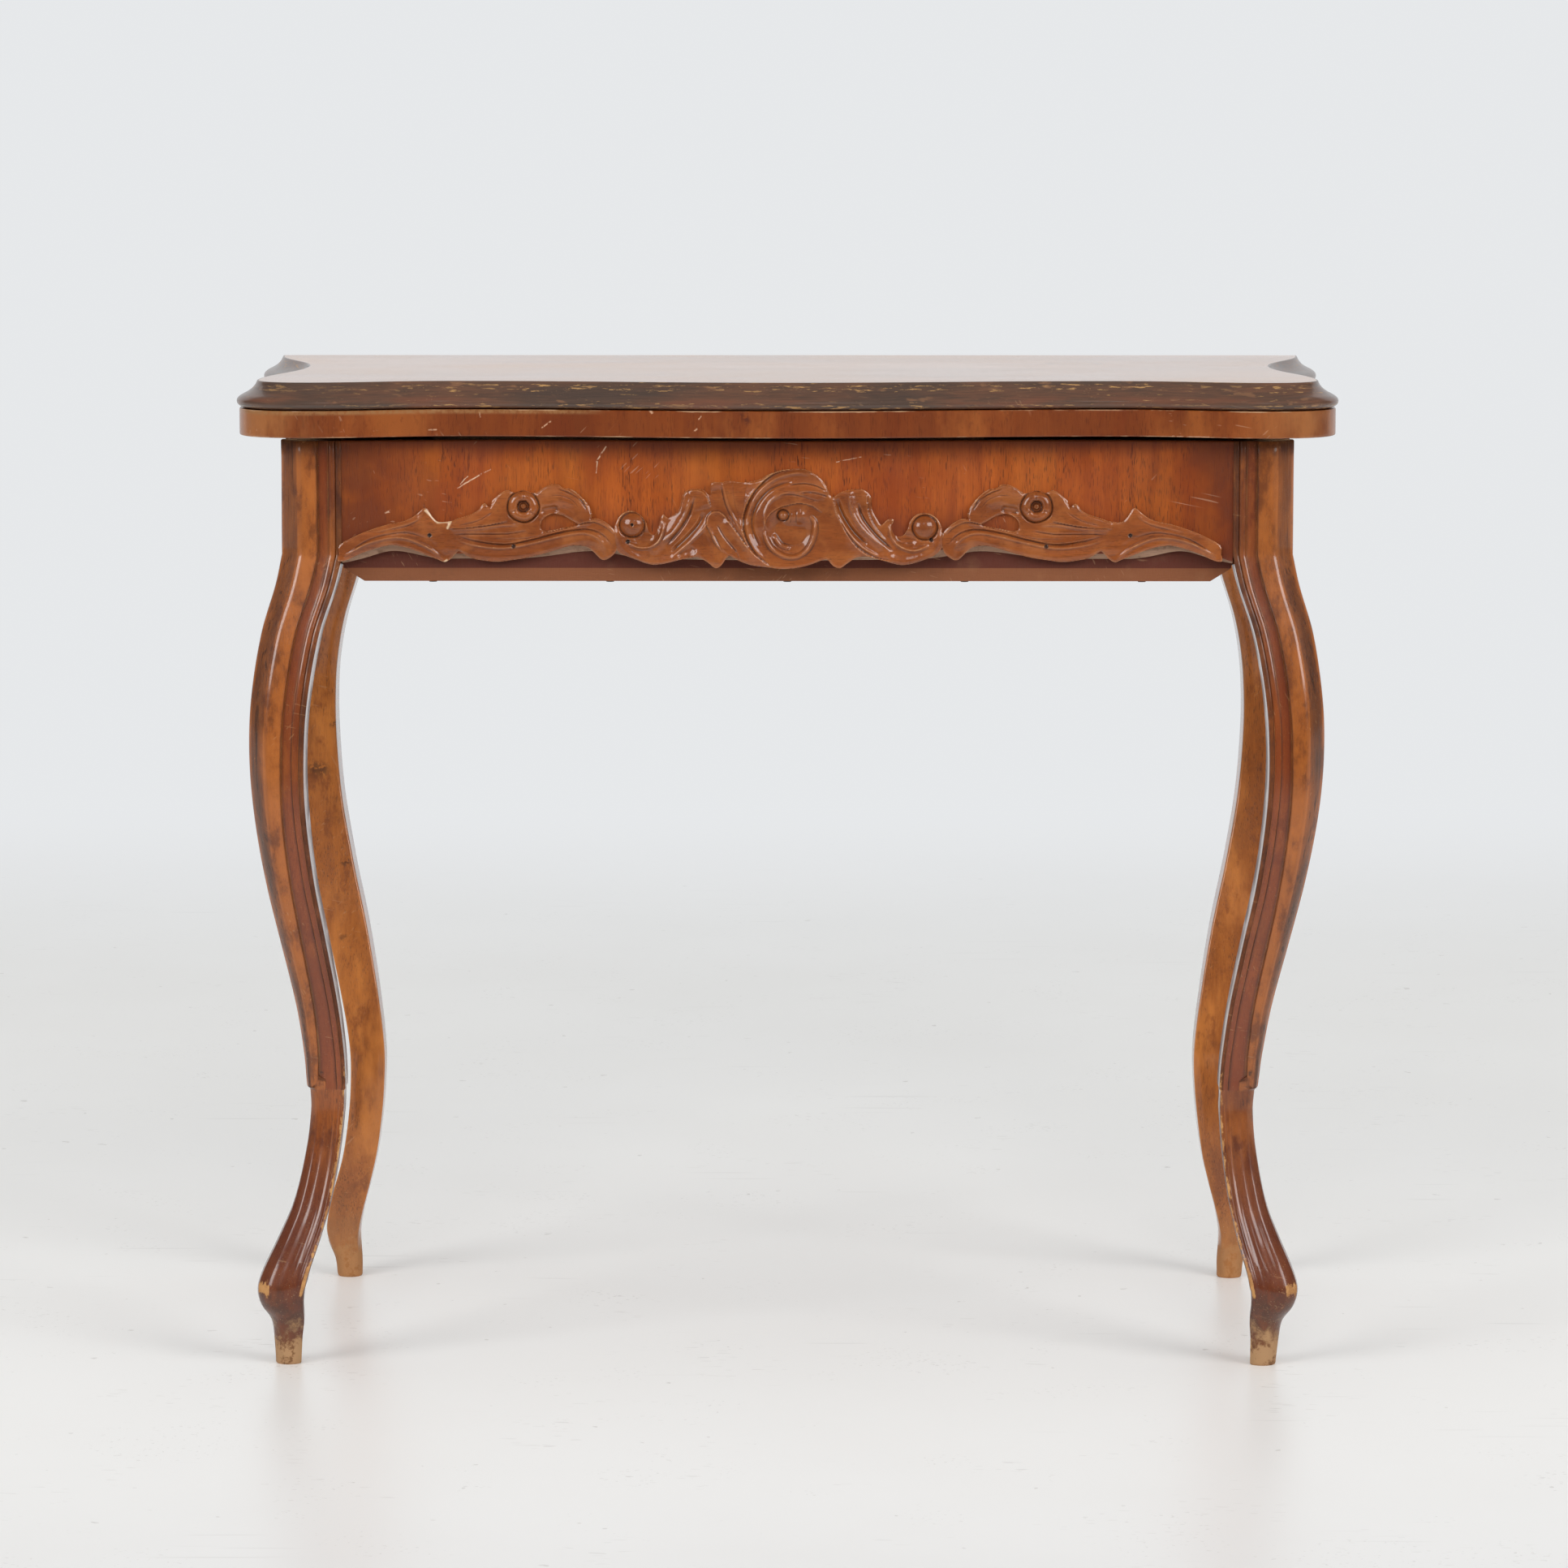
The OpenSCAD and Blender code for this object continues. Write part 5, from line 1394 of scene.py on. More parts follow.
def inside(grid, loop):
    """Which grid points lie inside a closed line."""
    found = np.zeros(len(grid), bool)
    for a, b in zip(loop, np.roll(loop, -1, axis=0)):
        rising = (a[1] > grid[:, 1]) != (b[1] > grid[:, 1])
        with np.errstate(divide="ignore", invalid="ignore"):
            crossing = (b[0] - a[0]) * (grid[:, 1] - a[1]) / (b[1] - a[1]) + a[0]
        found ^= rising & (grid[:, 0] < crossing)
    return found


# %% Cutting the relief
def cut_relief(grid, strokes, slab):
    """Height of the relief over each grid point."""
    body, fine, beads = np.full(len(grid), slab), np.zeros(len(grid)), np.zeros(len(grid))
    for kind, wide, size, points in strokes:
        d, t, _, side = near_line(grid, curve_through(points), 3 * wide + 3)
        taper = np.clip(np.minimum(t, 1 - t) / 0.14, 0, 1) ** 0.6
        r = np.clip(d / wide, 0, 3)
        round_top = np.sqrt(np.clip(1 - r ** 2, 0, 1))
        if kind == "swell":
            body += size * np.exp(-r ** 2)
        elif kind == "dish":
            body -= size * np.exp(-r ** 4)
        elif kind == "step":
            body += size * np.exp(-r) * (side > 0) * taper
        elif kind == "ridge":
            fine += size * np.exp(-(r * 1.2) ** 2) * taper
        elif kind == "cut":
            fine -= size * np.clip(1 - r, 0, 1) ** 0.8 * taper
        elif kind == "curl":
            beads = np.maximum(beads, size * round_top * (0.55 + 0.45 * taper))
        elif kind == "dome":
            beads = np.where(r < 1, 1.5 + (size - 1.5) * round_top, beads)
            fine -= 1.3 * np.exp(-((d - wide - 0.4) / 0.6) ** 2)
        elif kind == "bloom":
            angle = np.arctan2(grid[:, 1] - points[0][1], grid[:, 0] - points[0][0])
            q = r / (1 + 0.015 * np.cos(5 * angle + 0.6))
            petals = size * np.clip(1 - ((q - 0.66) / 0.42) ** 2, 0, 1) ** 0.5
            petals -= 0.7 * np.exp(-(np.sin(1.5 * angle + 0.9) / 0.12) ** 2) * (q > 0.5)
            beads = np.where(q < 1,
                             np.where(q < 0.4, 1.4 + 1.4 * (q < 0.16), np.maximum(petals, 2)),
                             beads)
            body = np.where(q < 1, 1.0, body)
            fine -= 1.3 * np.exp(-((q - 1.05) * wide / 0.7) ** 2)
    return np.maximum(np.maximum(body + fine, beads), 0.7)


def softened(field, rounds):
    for _ in range(rounds):
        padded = np.pad(field, 1, mode="edge")
        upright = padded[1:-1, 1:-1] * 4 + padded[:-2, 1:-1] + padded[2:, 1:-1]
        field = (upright + padded[1:-1, :-2] + padded[1:-1, 2:]) / 8
    return field


SLAB, STEP, RIM, SINK = 3.6, 0.5, 1.7, 0.4


def carve(name, edge, strokes, node, window=None, breaks=(), pits=(), flip=False):
    """A carved piece. Pits are (x, z, radius), breaks are lines of bare broken wood."""
    loop = curve_through(edge, closed=True, parts=3)
    hole = curve_through(window, closed=True, parts=3) if window else None
    low, high = loop.min(0) - STEP, loop.max(0) + STEP
    gx, gz = np.meshgrid(np.arange(low[0], high[0], STEP), np.arange(low[1], high[1], STEP))
    grid = np.column_stack([gx.ravel(), gz.ravel()])
    d, _, near, _ = near_line(grid, np.vstack([loop, loop[:1]]), 4)
    solid = inside(grid, loop)
    if hole is not None:
        d2, _, near2, _ = near_line(grid, np.vstack([hole, hole[:1]]), 4)
        solid &= ~inside(grid, hole)
        near[d2 < d] = near2[d2 < d]
        d = np.minimum(d, d2)
    height = cut_relief(grid, strokes, SLAB)
    rim = np.clip(d / RIM, 0, 1)
    height *= 0.70 + 0.30 * np.sqrt(1 - (1 - rim) ** 2)
    marks, spots = np.zeros(len(grid)), np.zeros(len(grid))
    for px, pz, r in pits:
        off = np.hypot(grid[:, 0] - px, grid[:, 1] - pz)
        height -= 1.6 * (off < r * 0.8)
        spots = np.maximum(spots, np.clip((1.35 * r - off) / 0.6, 0, 1))
    for line in breaks:
        away = near_line(grid, np.array(line, float), 3)[0]
        marks = np.maximum(marks, np.clip(1.6 - away / 0.75, 0, 1))
    height = softened(height.reshape(gx.shape), 1).ravel()
    height += 0.08 * np.array([waver(x * 0.35, z * 0.35, 1.0) for x, z in grid])
    place = np.where(solid[:, None], grid, near)
    rows, cols = gx.shape
    index = np.arange(rows * cols).reshape(rows, cols)
    corners = [index[:-1, :-1], index[:-1, 1:], index[1:, 1:], index[1:, :-1]]
    quads = np.stack(corners, -1).reshape(-1, 4)
    quads = quads[solid[quads].sum(1) >= 2]
    used = np.unique(quads)
    renumber = np.full(rows * cols, -1)
    renumber[used] = np.arange(len(used))
    quads = renumber[quads]
    place, height, marks, spots = place[used], height[used], marks[used], spots[used]
    count = len(used)
    face = np.array([face_y(x) for x in place[:, 0]])
    top = np.column_stack([place[:, 0], face - height, place[:, 1] + RAIL_UNDER])
    sunk = np.column_stack([place[:, 0], face + SINK, place[:, 1] + RAIL_UNDER])
    pairs = {}
    for q in quads:
        for a, b in zip(q, np.roll(q, -1)):
            pairs[(a, b)] = pairs.get((a, b), 0) + 1
    walls = [(b, a, a + count, b + count) for a, b in pairs if (b, a) not in pairs]
    faces = [tuple(q) for q in quads.tolist()] + walls + [tuple(q + count) for q in quads[:, ::-1]]
    points = np.vstack([top, sunk])
    if flip:
        points[:, 0] = 2 * CARVING_MIDDLE - points[:, 0]
        points[:, 1] += np.array([face_y(x) - face_y(2 * CARVING_MIDDLE - x) for x in points[:, 0]])
        faces = [tuple(reversed(f)) for f in faces]
    made = new_mesh(name, points, faces, 48)
    dressed(made, carved)
    mark_bends(made, 2, 1.25)
    for label, values in (("broken", marks), ("pit", spots)):
        keep(made, label, np.concatenate([values, values]))
    return fit(made, "frame", node)


# %% [markdown]
# Each stroke below names its kind, its half width, its height or depth, and its line. A step
# stands proud on the left of its line only, as a leaf does that lies over another. Lines are
# given as distance from the middle of the table and height above the lower edge of the rails.

# %% Centre ornament
CARVING_MIDDLE = -5.6
CENTRE_EDGE = [
    (-131.2, 20.3), (-131.8, 30.8), (-128.1, 39.5), (-123.2, 43.8), (-117.6, 44.5), (-111.4, 41.4),
    (-107.1, 35.2), (-105.2, 28.3), (-100.9, 26.5), (-97.8, 32.7), (-94.7, 42), (-91, 39.5),
    (-87.3, 41.4), (-82.9, 44.5), (-80.5, 52.5), (-78.6, 58.1), (-74.9, 61.2), (-68.7, 61.8),
    (-63.1, 60.6), (-58.2, 56.9), (-57.6, 66.2), (-49.5, 66.8), (-43.3, 68), (-34, 66.8),
    (-22.3, 68.6), (-15.5, 72.4), (-9.3, 74.8), (-1.9, 76.7), (9.3, 77.3), (17.3, 75.5),
    (24.8, 70.5), (29.7, 64.3), (32.2, 58.1), (34.7, 55.6), (39.6, 58.7), (44.6, 60.6),
    (53.2, 61.8), (59.4, 60.6), (63.8, 55.6), (64.4, 46.9), (68.7, 38.3), (71.8, 34.5),
    (76.1, 38.3), (81.1, 38.3), (79.2, 32.7), (82.3, 25.9), (87.9, 25.9), (91.6, 30.8), (93.5, 37),
    (98.4, 42), (105.2, 43.2), (112, 40.7), (116.4, 35.2), (118.2, 27.7), (118.2, 17.8),
    (113.3, 11.6), (105.2, 7.9), (92.8, 4.2), (83.6, 4.2), (71.2, 7.9), (60.7, 10.4), (52.6, 9.7),
    (45.2, 4.8), (40.2, 1.7), (34.7, 3.5), (29.7, 8.5), (18.6, 4.8), (9.3, 2.3), (-3.1, 1.1),
    (-13.6, 2.3), (-27.9, 4.2), (-39, 8.5), (-44.6, 11), (-50.1, 3.5), (-55.1, 1.7), (-60.7, 6),
    (-68.1, 9.7), (-80.5, 7.9), (-95.9, 4.2), (-105.2, 4.2), (-117.6, 8.5), (-128.1, 12.8)]
CENTRE_STROKES = [
    ("swell", 3, 1.4,
     [(-128.8, 27.7), (-125, 17.2), (-114.5, 9.1), (-100.3, 6), (-81.7, 9.1), (-69.3, 12.8)]),
    ("ridge", 1.5, 2.2,
     [(-121.3, 20.3), (-113.9, 17.2), (-105.8, 17.2), (-98.4, 21.5), (-94.7, 29.6), (-93.5, 37)]),
    ("dish", 5.5, 2.6, [(-111.4, 26.5), (-105.2, 25.2)]),
    ("swell", 4.2, 1.5, [(-75.5, 57.5), (-79.2, 43.8), (-89.1, 29), (-101.5, 15.3)]),
    ("step", 9, 1.7, [(-58.2, 47.6), (-60.7, 56.2), (-65.6, 60.6), (-74.3, 61.8)]),
    ("ridge", 1.2, 1, [(-73.7, 55), (-77.4, 42.6), (-86, 29), (-96.6, 20.3)]),
    ("cut", 1.5, 1.5, [(-70.6, 55), (-74.3, 42.6), (-81.7, 30.2), (-91.6, 19)]),
    ("cut", 2.4, 2.2, [(-63.1, 43.8), (-66.9, 35.2), (-75.5, 25.2), (-87.9, 13.5)]),
    ("ridge", 1.3, 1, [(-59.4, 40.1), (-63.8, 31.4), (-73.7, 21.5), (-87.9, 9.7)]),
    ("swell", 3, 1, [(-60.7, 30.8), (-55.7, 18.4), (-54.5, 6.6)]),
    ("dish", 3.6, 1.4, [(-79.2, 11), (-73, 14.1)]),
    ("step", 7, 1.9, [(-22.3, 9.1), (-32.8, 21.5), (-40.9, 32.7), (-48.3, 42.6), (-54.5, 45.1),
                      (-60, 42), (-61.3, 35.2), (-58.2, 29), (-54.5, 20.3), (-46.4, 11.6)]),
    ("cut", 0.8, 0.9, [(-53.2, 35.2), (-47.7, 25.2), (-38.4, 14.1)]),
    ("cut", 0.8, 0.7, [(-55.7, 27.7), (-50.8, 17.8), (-45.8, 11.6)]),
    ("dish", 6.5, 1.5, [(-52, 57.5), (-48.3, 43.8)]),
    ("dish", 7.5, 1.4, [(-35.9, 61.2), (-35.3, 42.6)]),
    ("ridge", 1.1, 0.9, [(-48.9, 66.2), (-45.2, 50), (-37.8, 35.2), (-32.8, 26.5)]),
    ("cut", 0.7, 0.7, [(-50.1, 64.3), (-47, 50), (-40.2, 35.2)]),
    ("cut", 0.5, 0.4, [(-41.5, 65.5), (-39.6, 50), (-35.3, 37)]),
    ("cut", 0.5, 0.4, [(-30.3, 66.2), (-32.2, 56.2), (-33.4, 43.8)]),
    ("step", 9, 2.6, [(-12.4, 2.9), (-23.5, 11.6), (-30.9, 22.8), (-34, 35.2), (-31.6, 47.6),
                      (-26, 58.7), (-17.3, 68.6), (-7.4, 74.8), (5, 76.7)]),
    ("ridge", 1.7, 1.6, [(-16.1, 7.3), (-24.8, 16.6), (-29.7, 27.7), (-30.3, 40.1), (-26, 52.5),
                         (-17.3, 63.7), (-6.2, 71.1), (7.4, 74.2), (18.6, 72.4)]),
    ("cut", 1.9, 1.8, [(-19.8, 17.8), (-25.4, 27.7), (-26.6, 38.9), (-22.9, 50), (-14.9, 60),
                       (-5, 65.5), (3.7, 67.4)]),
    ("swell", 6.5, 1.8,
     [(-18.6, 33.9), (-18, 45.1), (-11.1, 56.2), (0, 61.8), (13.6, 63.1), (26, 60)]),
    ("ridge", 1, 0.8, [(-14.9, 30.2), (-17.3, 40.1), (-13.6, 51.3), (-5, 58.1), (6.2, 60.6)]),
    ("cut", 0.8, 1.1, [(1.2, 64.9), (12.4, 66.2), (22.3, 64.3), (29.7, 60.6)]),
    ("cut", 0.8, 1, [(9.9, 58.7), (19.8, 59.3), (30.9, 56.2)]),
    ("cut", 0.7, 0.8, [(-5, 57.5), (6.2, 57.5), (17.3, 54.4), (24.8, 52.5)]),
    ("swell", 9, 1, [(-40.2, 7.9), (-12.4, 6.6), (18.6, 9.1), (37.1, 15.3), (43.3, 27.7)]),
    ("dish", 14, 4.4, [(1.9, 30.8), (3.7, 29.6)]),
    ("step", 4, 1.6, [(-18, 30.2), (-14.9, 40.1), (-8.7, 46.3), (-1.2, 49.4), (9.9, 51.3),
                      (19.8, 48.8), (26, 43.8)]),
    ("curl", 2.6, 6.6, [(-17.3, 33.3), (-16.7, 26.5), (-11.8, 17.2), (-2.5, 11), (6.8, 10.4),
                        (15.5, 15.9), (20.4, 26.5), (21, 36.4), (17.3, 42)]),
    ("curl", 2.4, 3.4, [(-10.5, 26.5), (-5, 19), (1.9, 16.6)]),
    ("swell", 5.8, 4.6, [(1.9, 40.1), (8.7, 40.1)]),
    ("dome", 3.8, 7.4, [(-3.1, 42), (-2.8, 42)]),
    ("cut", 0.5, 0.8, [(3.1, 44.5), (2.5, 35.8)]),
    ("cut", 0.5, 0.8, [(6.8, 45.1), (6.8, 35.8)]),
    ("step", 6, 1.9,
     [(80.5, 6.6), (64.4, 10.4), (52, 19), (42.1, 33.9), (36.5, 47.6), (34.7, 57.5)]),
    ("ridge", 1.3, 1.4, [(35.3, 54.4), (38.4, 43.8), (45.8, 30.2), (56.9, 17.8), (71.8, 9.7)]),
    ("cut", 2.3, 2.4, [(37.8, 54.4), (42.1, 42.6), (50.8, 29), (60.7, 19.7)]),
    ("swell", 3.4, 1.4, [(47, 57.5), (51.4, 42.6), (61.9, 27.7), (76.8, 14.1)]),
    ("ridge", 1, 0.8, [(46.4, 57.5), (50.1, 42.6), (59.4, 29), (73, 17.8)]),
    ("cut", 1.5, 1.7, [(53.9, 51.3), (57.6, 40.1), (68.1, 26.5), (80.5, 15.3)]),
    ("step", 6, 1.2, [(75.5, 22.8), (66.9, 32.7), (61.9, 43.8), (60.7, 57.5)]),
    ("ridge", 1.4, 2, [(78, 34.5), (79.2, 26.5), (85.4, 18.4), (96.6, 14.7), (107.7, 18.4)]),
    ("dish", 5, 2.4, [(85.4, 25.2), (92.8, 22.8)]),
    ("swell", 3, 1.4, [(74.3, 10.4), (87.9, 6.6), (102.8, 9.7), (112, 15.9), (115.8, 25.2)]),
    ("dome", 9, 8.6, [(-118.2, 33.9), (-117.9, 33.9)]),
    ("dome", 9, 8.6, [(104.6, 32.1), (104.9, 32.1)])]
CENTRE_PITS = [(-121.3, 21.2, 1.5), (-118.0, 34.5, 1.2), (109.6, 22.7, 1.5)]
carve("centre_relief", CENTRE_EDGE, CENTRE_STROKES, "centre_carving", pits=CENTRE_PITS)

# %% Two sprays
SPRAY_EDGE = [
    (-341.7, 11.6), (-340.4, 19), (-328.1, 25.9), (-315.7, 30.8), (-303.3, 34.5), (-290.9, 37),
    (-282.9, 41.4), (-275.5, 46.9), (-270.5, 40.1), (-265.6, 35.8), (-256.3, 36.4), (-251.3, 38.3),
    (-241.4, 41.4), (-235.2, 45.1), (-230.9, 50), (-226.6, 46.9), (-224.7, 51.9), (-221.6, 55),
    (-217.9, 58.1), (-212.9, 60), (-208, 58.1), (-201.2, 60), (-195, 58.1), (-190.7, 58.1),
    (-185.7, 61.8), (-179.5, 64.3), (-173.9, 64.3), (-170.8, 61.8), (-164, 60.6), (-157.2, 55.6),
    (-151, 48.2), (-148.6, 41.4), (-149.2, 38.3), (-143.6, 38.3), (-137.4, 35.2), (-131.2, 29.6),
    (-128.1, 22.8), (-129.4, 16.6), (-131.8, 11.6), (-138, 7.3), (-142.4, 7.9), (-147.3, 12.8),
    (-153.5, 17.2), (-164, 17.8), (-173.3, 15.3), (-185.7, 11.6), (-198.1, 8.5), (-210.5, 6.6),
    (-219.7, 5.4), (-229, 6), (-241.4, 8.5), (-249.5, 13.5), (-252.6, 11.6), (-256.9, 7.3),
    (-261.2, 5.4), (-266.2, 7.3), (-275.5, 11), (-287.8, 15.9), (-300.2, 18.4), (-309.5, 17.2),
    (-325, 12.2), (-335.5, 7.3), (-341.7, 6.6)]
SPRAY_WINDOW = [(-186.9, 37), (-180.1, 42), (-172.1, 41.4), (-164.7, 37.6), (-159.1, 33.9),
                (-165.3, 32.1), (-173.3, 30.8), (-182, 29), (-187.6, 30.2)]
SPRAY_STROKES = [
    ("swell", 6, 1.2,
     [(-328.1, 17.8), (-309.5, 25.2), (-290.9, 30.2), (-272.4, 27.7), (-261.2, 17.8)]),
    ("ridge", 1.2, 1.3, [(-338, 9.7), (-323.1, 18.4), (-307, 23.4), (-292.2, 24), (-279.8, 19.7),
                         (-269.9, 14.1), (-262.5, 7.9)]),
    ("cut", 0.9, 0.8,
     [(-334.3, 12.8), (-318.2, 22.8), (-302.1, 27.1), (-288.5, 27.7), (-276.1, 24)]),
    ("cut", 0.5, 0.5, [(-304.5, 30.2), (-290.9, 32.7), (-281, 37)]),
    ("ridge", 1, 0.7, [(-315.7, 28.3), (-297.1, 32.7), (-283.5, 37), (-276.1, 43.8)]),
    ("step", 9, 1.5, [(-258.7, 30.8), (-244.5, 31.4), (-229, 33.3), (-212.9, 36.4)]),
    ("swell", 8, 1.3, [(-253.8, 32.7), (-236.5, 37.6), (-221.6, 46.3), (-214.2, 55)]),
    ("cut", 0.6, 0.7, [(-250.1, 33.3), (-235.2, 37), (-224.1, 43.8)]),
    ("cut", 0.5, 0.6, [(-231.5, 46.3), (-225.3, 48.8), (-221.6, 53.8)]),
    ("ridge", 0.9, 0.9, [(-256.3, 30.2), (-235.2, 30.8), (-216.7, 33.3), (-204.3, 33.3)]),
    ("cut", 0.9, 1, [(-253.8, 26.5), (-234, 26.5), (-214.2, 26.5), (-198.1, 29)]),
    ("swell", 5, 1.4, [(-252.6, 16.6), (-235.2, 11.6), (-213.6, 10.4), (-189.4, 14.7),
                       (-167.1, 20.9), (-152.3, 23.4), (-139.9, 19), (-134.9, 11.6)]),
    ("ridge", 1.1, 1.2, [(-253.8, 22.8), (-236.5, 17.8), (-215.4, 15.9), (-194.4, 19.7),
                         (-172.1, 25.2), (-154.8, 27.7), (-143.6, 23.4), (-137.4, 15.3)]),
    ("cut", 1, 1.4, [(-250.1, 24.6), (-234, 20.3), (-214.2, 18.4), (-194.4, 22.1), (-172.1, 27.7),
                     (-153.5, 30.2), (-141.1, 26.5), (-133.7, 19)]),
    ("step", 7, 1.5, [(-186.9, 27.1), (-173.3, 30.2), (-159.7, 33.9), (-148.6, 36.4),
                      (-138.7, 32.7), (-131.2, 26.5)]),
    ("ridge", 0.8, 0.7, [(-189.4, 25.9), (-174.6, 29), (-159.7, 32.7), (-148.6, 35.2)]),
    ("cut", 0.5, 0.5, [(-222.8, 22.8), (-204.3, 22.8), (-186.9, 25.2)]),
    ("swell", 7.5, 2.2, [(-184.5, 51.3), (-173.3, 55), (-162.2, 51.3), (-155.4, 42.6)]),
    ("cut", 0.8, 1.2, [(-174.6, 61.2), (-165.9, 58.1), (-157.2, 52.5), (-152.3, 45.1)]),
    ("cut", 0.7, 0.9, [(-167.1, 61.2), (-159.1, 55.6), (-153.5, 48.8)]),
    ("cut", 0.6, 0.6, [(-182, 56.2), (-172.1, 56.2), (-163.4, 52.5), (-158.5, 46.3)]),
    ("dish", 2.8, 2, [(-184.5, 44.5), (-177, 45.7)]),
    ("bloom", 11.4, 7.4, [(-201.2, 47.6), (-200.9, 47.6)])]
BREAKS = [[(-275.4, 44.8), (-266.2, 35.8), (-256.3, 36.4), (-258.7, 31.4)],
          [(-262.2, 4.4), (-259.6, 6.6)]]
PITS = [(-272.4, 25.9, 1.5), (-208.6, 17.2, 1.5)]
carve("left_spray_relief", SPRAY_EDGE, SPRAY_STROKES, "left_spray", SPRAY_WINDOW, BREAKS, PITS)
carve("right_spray_relief", SPRAY_EDGE, SPRAY_STROKES, "right_spray", SPRAY_WINDOW, (), PITS,
      flip=True)

# %% [markdown]
# ## Pieces that keep their solids
# Rails, bearer, blocks, hinges and ironwork already have their true forms. They only get a
# finish: the object's material slots are filled, and its mesh stays as it is.

# %% Finishes for the frame's own nodes
FINISHES = (
    (stained_core, "front_rail"), (stained_board, "back_rail well_floor"),
    (side_veneer, "left_rail right_rail"), (bare_pine_across, "pivot_bearer"),
    (bare_pine_upright, "corner_blocks"), (leather, "glide_strips leather_washer"),
    (iron, "pivot_plate pivot_bolt iron_washer square_nut plate_screws"), (oak, "stop_peg"),
    (nail_iron, "floor_nails"),
    (brass, "left_lower_hinge right_lower_hinge left_upper_hinge right_upper_hinge"),
    (brass, "left_hinge_pin right_hinge_pin lower_hinge_screws upper_hinge_screws"))
for material, labels in FINISHES:
    for label in labels.split():
        dressed(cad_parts[label], material)

# %% [markdown]
# ## Floor, backdrop and light
# The table stands on a pale, slightly glossy floor that rises in a wide curve into a plain
# backdrop. The backdrop's brightness comes from its own colour for rays that see it, so the
# lamps can stay at a plain level. In front of the table the sheet looks dark to rays that
# were mirrored, which keeps the polish deep.

# %% Floor and backdrop
SHEET_HALF, BEND_AT, BEND_R, WALL_TOP = 9.0, 5.6, 1.2, 7.0


def stage_sheet():
    """Floor, bend and wall as one sheet, in metres."""
    line = [(-SHEET_HALF, 0.0)] + [(y, 0.0) for y in np.linspace(-7, BEND_AT, 10)]
    line += [(BEND_AT + BEND_R * math.sin(a), BEND_R - BEND_R * math.cos(a))
             for a in np.linspace(0.12, math.pi / 2, 12)]
    line += [(6.8, WALL_TOP)]
    points = [(x, y, z) for y, z in line for x in (-SHEET_HALF, SHEET_HALF)]
    faces = [(2 * i, 2 * i + 1, 2 * i + 3, 2 * i + 2) for i in range(len(line) - 1)]
    return new_mesh("floor", np.array(points) * 1000, faces, 80)


def rays():
    """Masks for rays from the camera, from a mirror and through something clear."""
    path = node("ShaderNodeLightPath").outputs
    return [Value(path["Is " + kind + " Ray"]) for kind in ("Camera", "Glossy", "Transmission")]


BACKDROP = (0.795, 0.81, 0.825)
floor = stage_sheet()
floor_paint, place = finish("floor_paint")
y = axes(place)[1]
cloudy = speckle(place, 2.2, 4.0, 0.6)
tone = mixed(spread(cloudy, 0.3, 0.7), (0.735, 0.725, 0.715), (0.71, 0.7, 0.69))
tone = mixed(spread(y, -1.5, -0.2), tone, (0.915, 0.905, 0.88))
specks = spread(speckle(place, 60.0), 0.735, 0.76, 0.0, 0.35)
tone = mixed(specks, tone, (0.35, 0.32, 0.28))
tone = mixed(hairlines(0.35, 330.0), tone, (0.55, 0.53, 0.5))
dashes = spread(speckle(stretched(place, (0.05, 1, 1)), 130.0, 1.0, 0.5), 0.7, 0.74, 0.0, 0.3)
tone = mixed(dashes * spread(speckle(place, 3.0, 1.0), 0.5, 0.6), tone, (0.6, 0.585, 0.56))
lay(tone, spread(cloudy, 0.3, 0.7, 0.3, 0.38), cloudy, 0.05, 0.001)
camera_ray, glossy_ray, clear_ray = rays()
far = spread(y, 1.5, 3.2) * most(camera_ray, glossy_ray, clear_ray)
far = most(far, spread(y, -3.2, -5.4) * camera_ray)
glow = put("ShaderNodeEmission", {"Color": BACKDROP, "Strength": 1.0})
both = put("ShaderNodeMixShader", {0: far, 1: Value(bench["shader"].outputs[0]), 2: glow})
dusk = put("ShaderNodeEmission", {"Color": (0.9, 0.95, 1.0), "Strength": 0.07})
near = spread(y, -1.3, -2.4) * glossy_ray
connect(put("ShaderNodeMixShader", {0: near, 1: both, 2: dusk}), bench["out"])
dressed(floor, floor_paint)
floor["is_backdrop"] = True

# %% World
world = bpy.data.worlds.new("studio")
scene.world = world
world.use_nodes = True
bench["tree"] = world.node_tree
world.node_tree.nodes.clear()
camera_ray, glossy_ray, clear_ray = rays()
soft, dim, plain = (put("ShaderNodeBackground", {"Color": colour, "Strength": strength})
                    for colour, strength in (((0.97, 0.985, 1.0), 0.47), ((0.85, 0.92, 1.0), 0.1),
                                             (BACKDROP, 1.0)))
mirrored = put("ShaderNodeMixShader", {0: glossy_ray, 1: soft, 2: dim})
seen = put("ShaderNodeMixShader", {0: most(camera_ray, clear_ray), 1: mirrored, 2: plain})
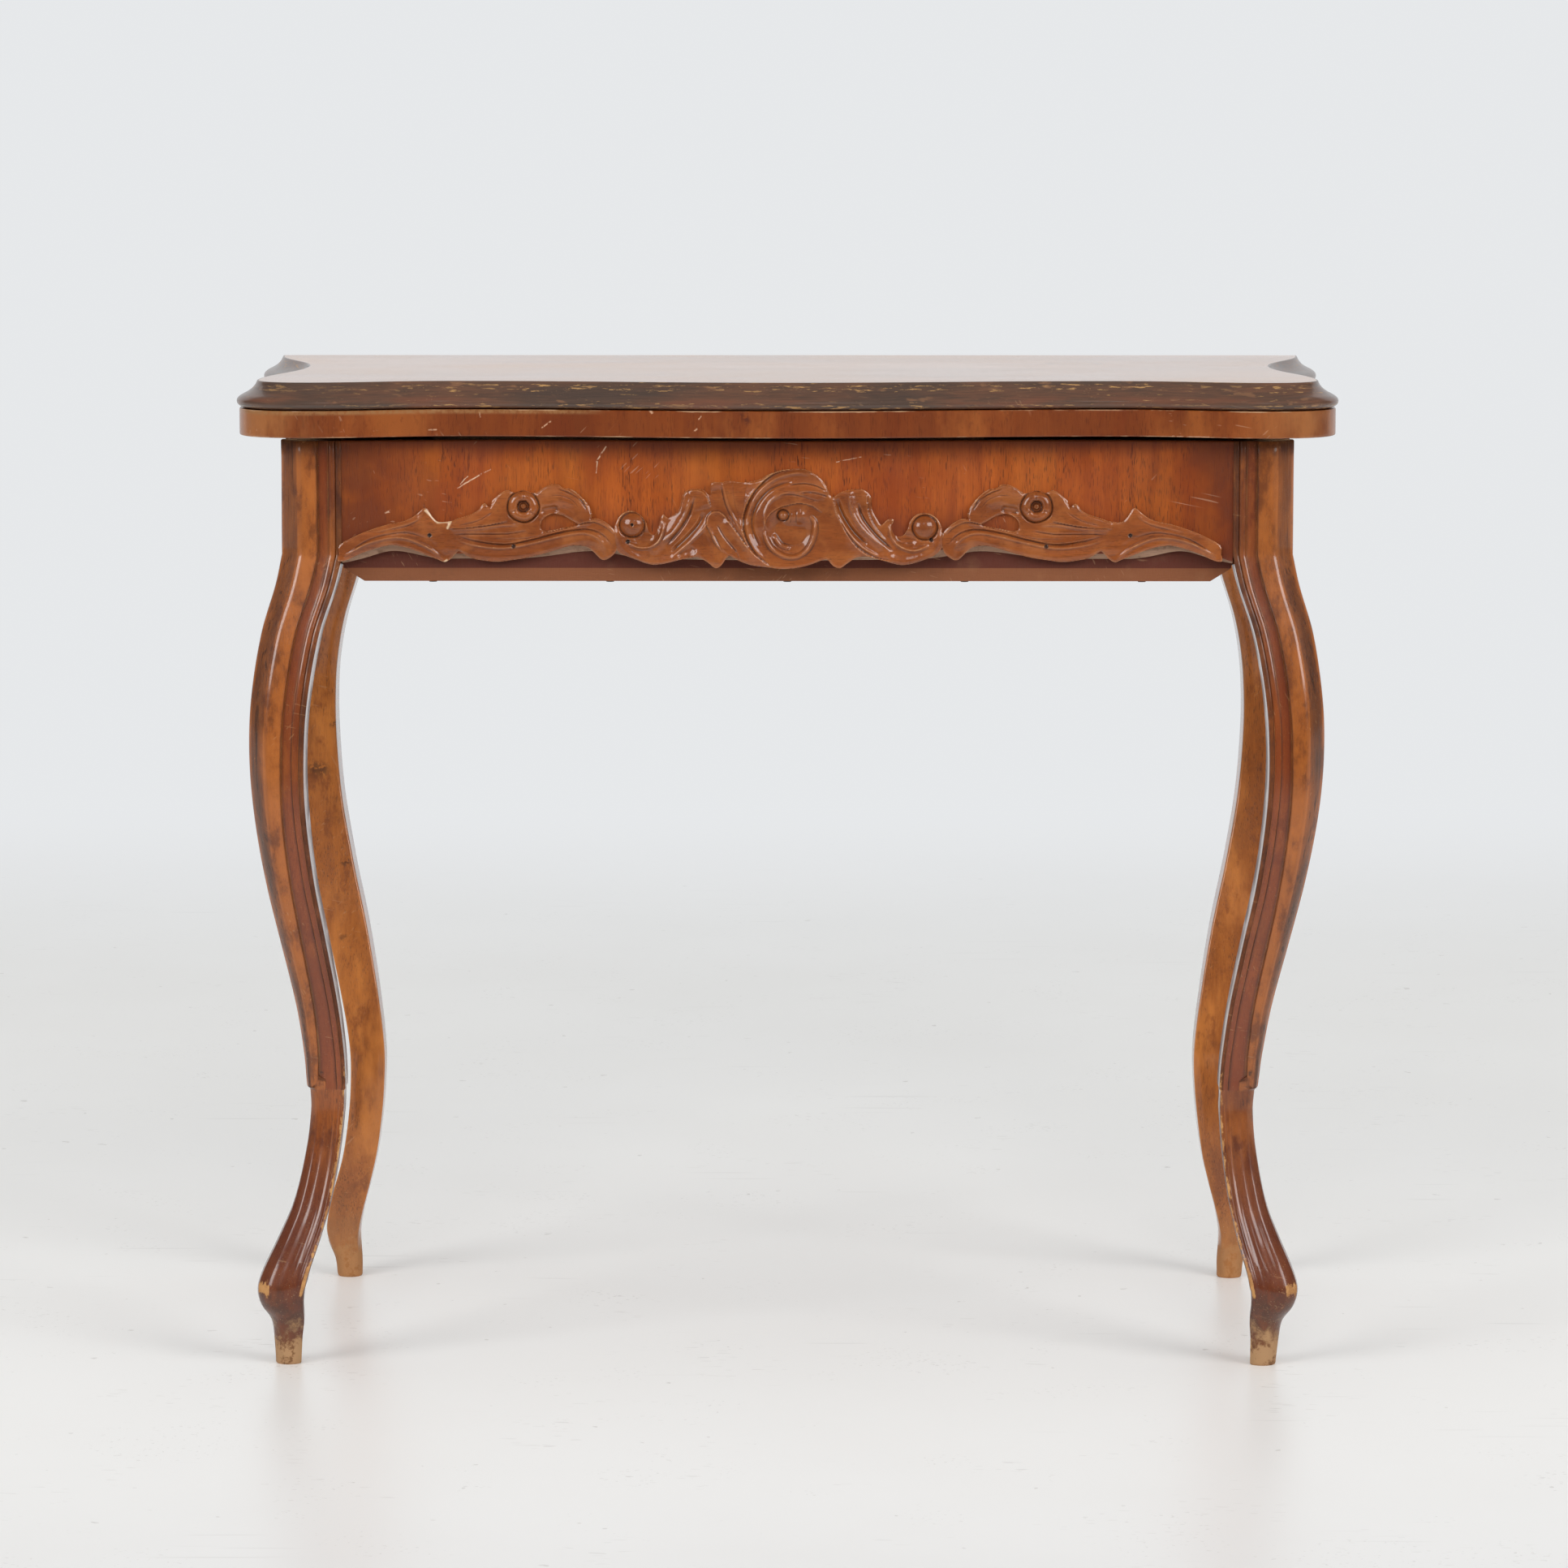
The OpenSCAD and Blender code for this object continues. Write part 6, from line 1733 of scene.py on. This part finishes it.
node("ShaderNodeOutputWorld", {0: seen})

# %% [markdown]
# ### Lamps
# At each side a lamp lights the table without being mirrored, and a wider gleam lamp is
# only mirrored, so brightness and gleams can be set apart. The wide flat tops and the floor
# would throw a gleam lamp back as a white sheet, seen from behind, so those two lamps spare
# them. A lamp hangs above, and two more stand in front: a broad one and a small one.

# %% Lamps
def lamp(name, place, aim, size, power, mirrored=True, lights=True):
    data = bpy.data.lights.new(name, "AREA")
    data.shape = "RECTANGLE"
    data.size, data.size_y = size
    data.energy = power
    made = bpy.data.objects.new(name, data)
    made.location = place
    made.rotation_euler = (Vector(aim) - Vector(place)).to_track_quat("-Z", "Y").to_euler()
    made.visible_glossy, made.visible_diffuse = mirrored, lights
    scene.collection.objects.link(made)
    return made


spared = bpy.data.collections.new("spared_by_gleams")
for piece in (upper_leaf, lower_leaf, floor):
    spared.objects.link(piece)
for link in spared.collection_objects:
    link.light_linking.link_state = "EXCLUDE"

AIM, WIDE, WIDER = (0, 0, 0.4), (3.2, 3.3), (4.5, 3.3)
lamp("lamp_left", (-4.8, -4.1, 3.6), AIM, WIDE, 168, False)
lamp("lamp_right", (4.8, -3.9, 3.7), AIM, WIDE, 186, False)
lamp("lamp_above", (0.0, 0.0, 4.6), AIM, (5.0, 4.0), 20, False)
lamp("lamp_front", (0.0, -8.0, 4.4), (0, 1.0, 0.2), (4.4, 3.0), 175, False)
lamp("lamp_small", (0.7, -7.0, 5.4), (0, 0, 0.6), (1.3, 0.9), 15)
for gleam in (lamp("gleam_left", (-4.8, -4.1, 3.2), AIM, WIDER, 330, True, False),
              lamp("gleam_right", (4.8, -3.9, 3.2), AIM, WIDER, 310, True, False)):
    gleam.light_linking.receiver_collection = spared

# %% [markdown]
# ## Closing the lesson
# The box of the dressed table is printed.

# %% Sizes and finish
low, high = (list(corner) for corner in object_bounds())
print("dressed box", [round(v, 4) for v in low], [round(v, 4) for v in high])
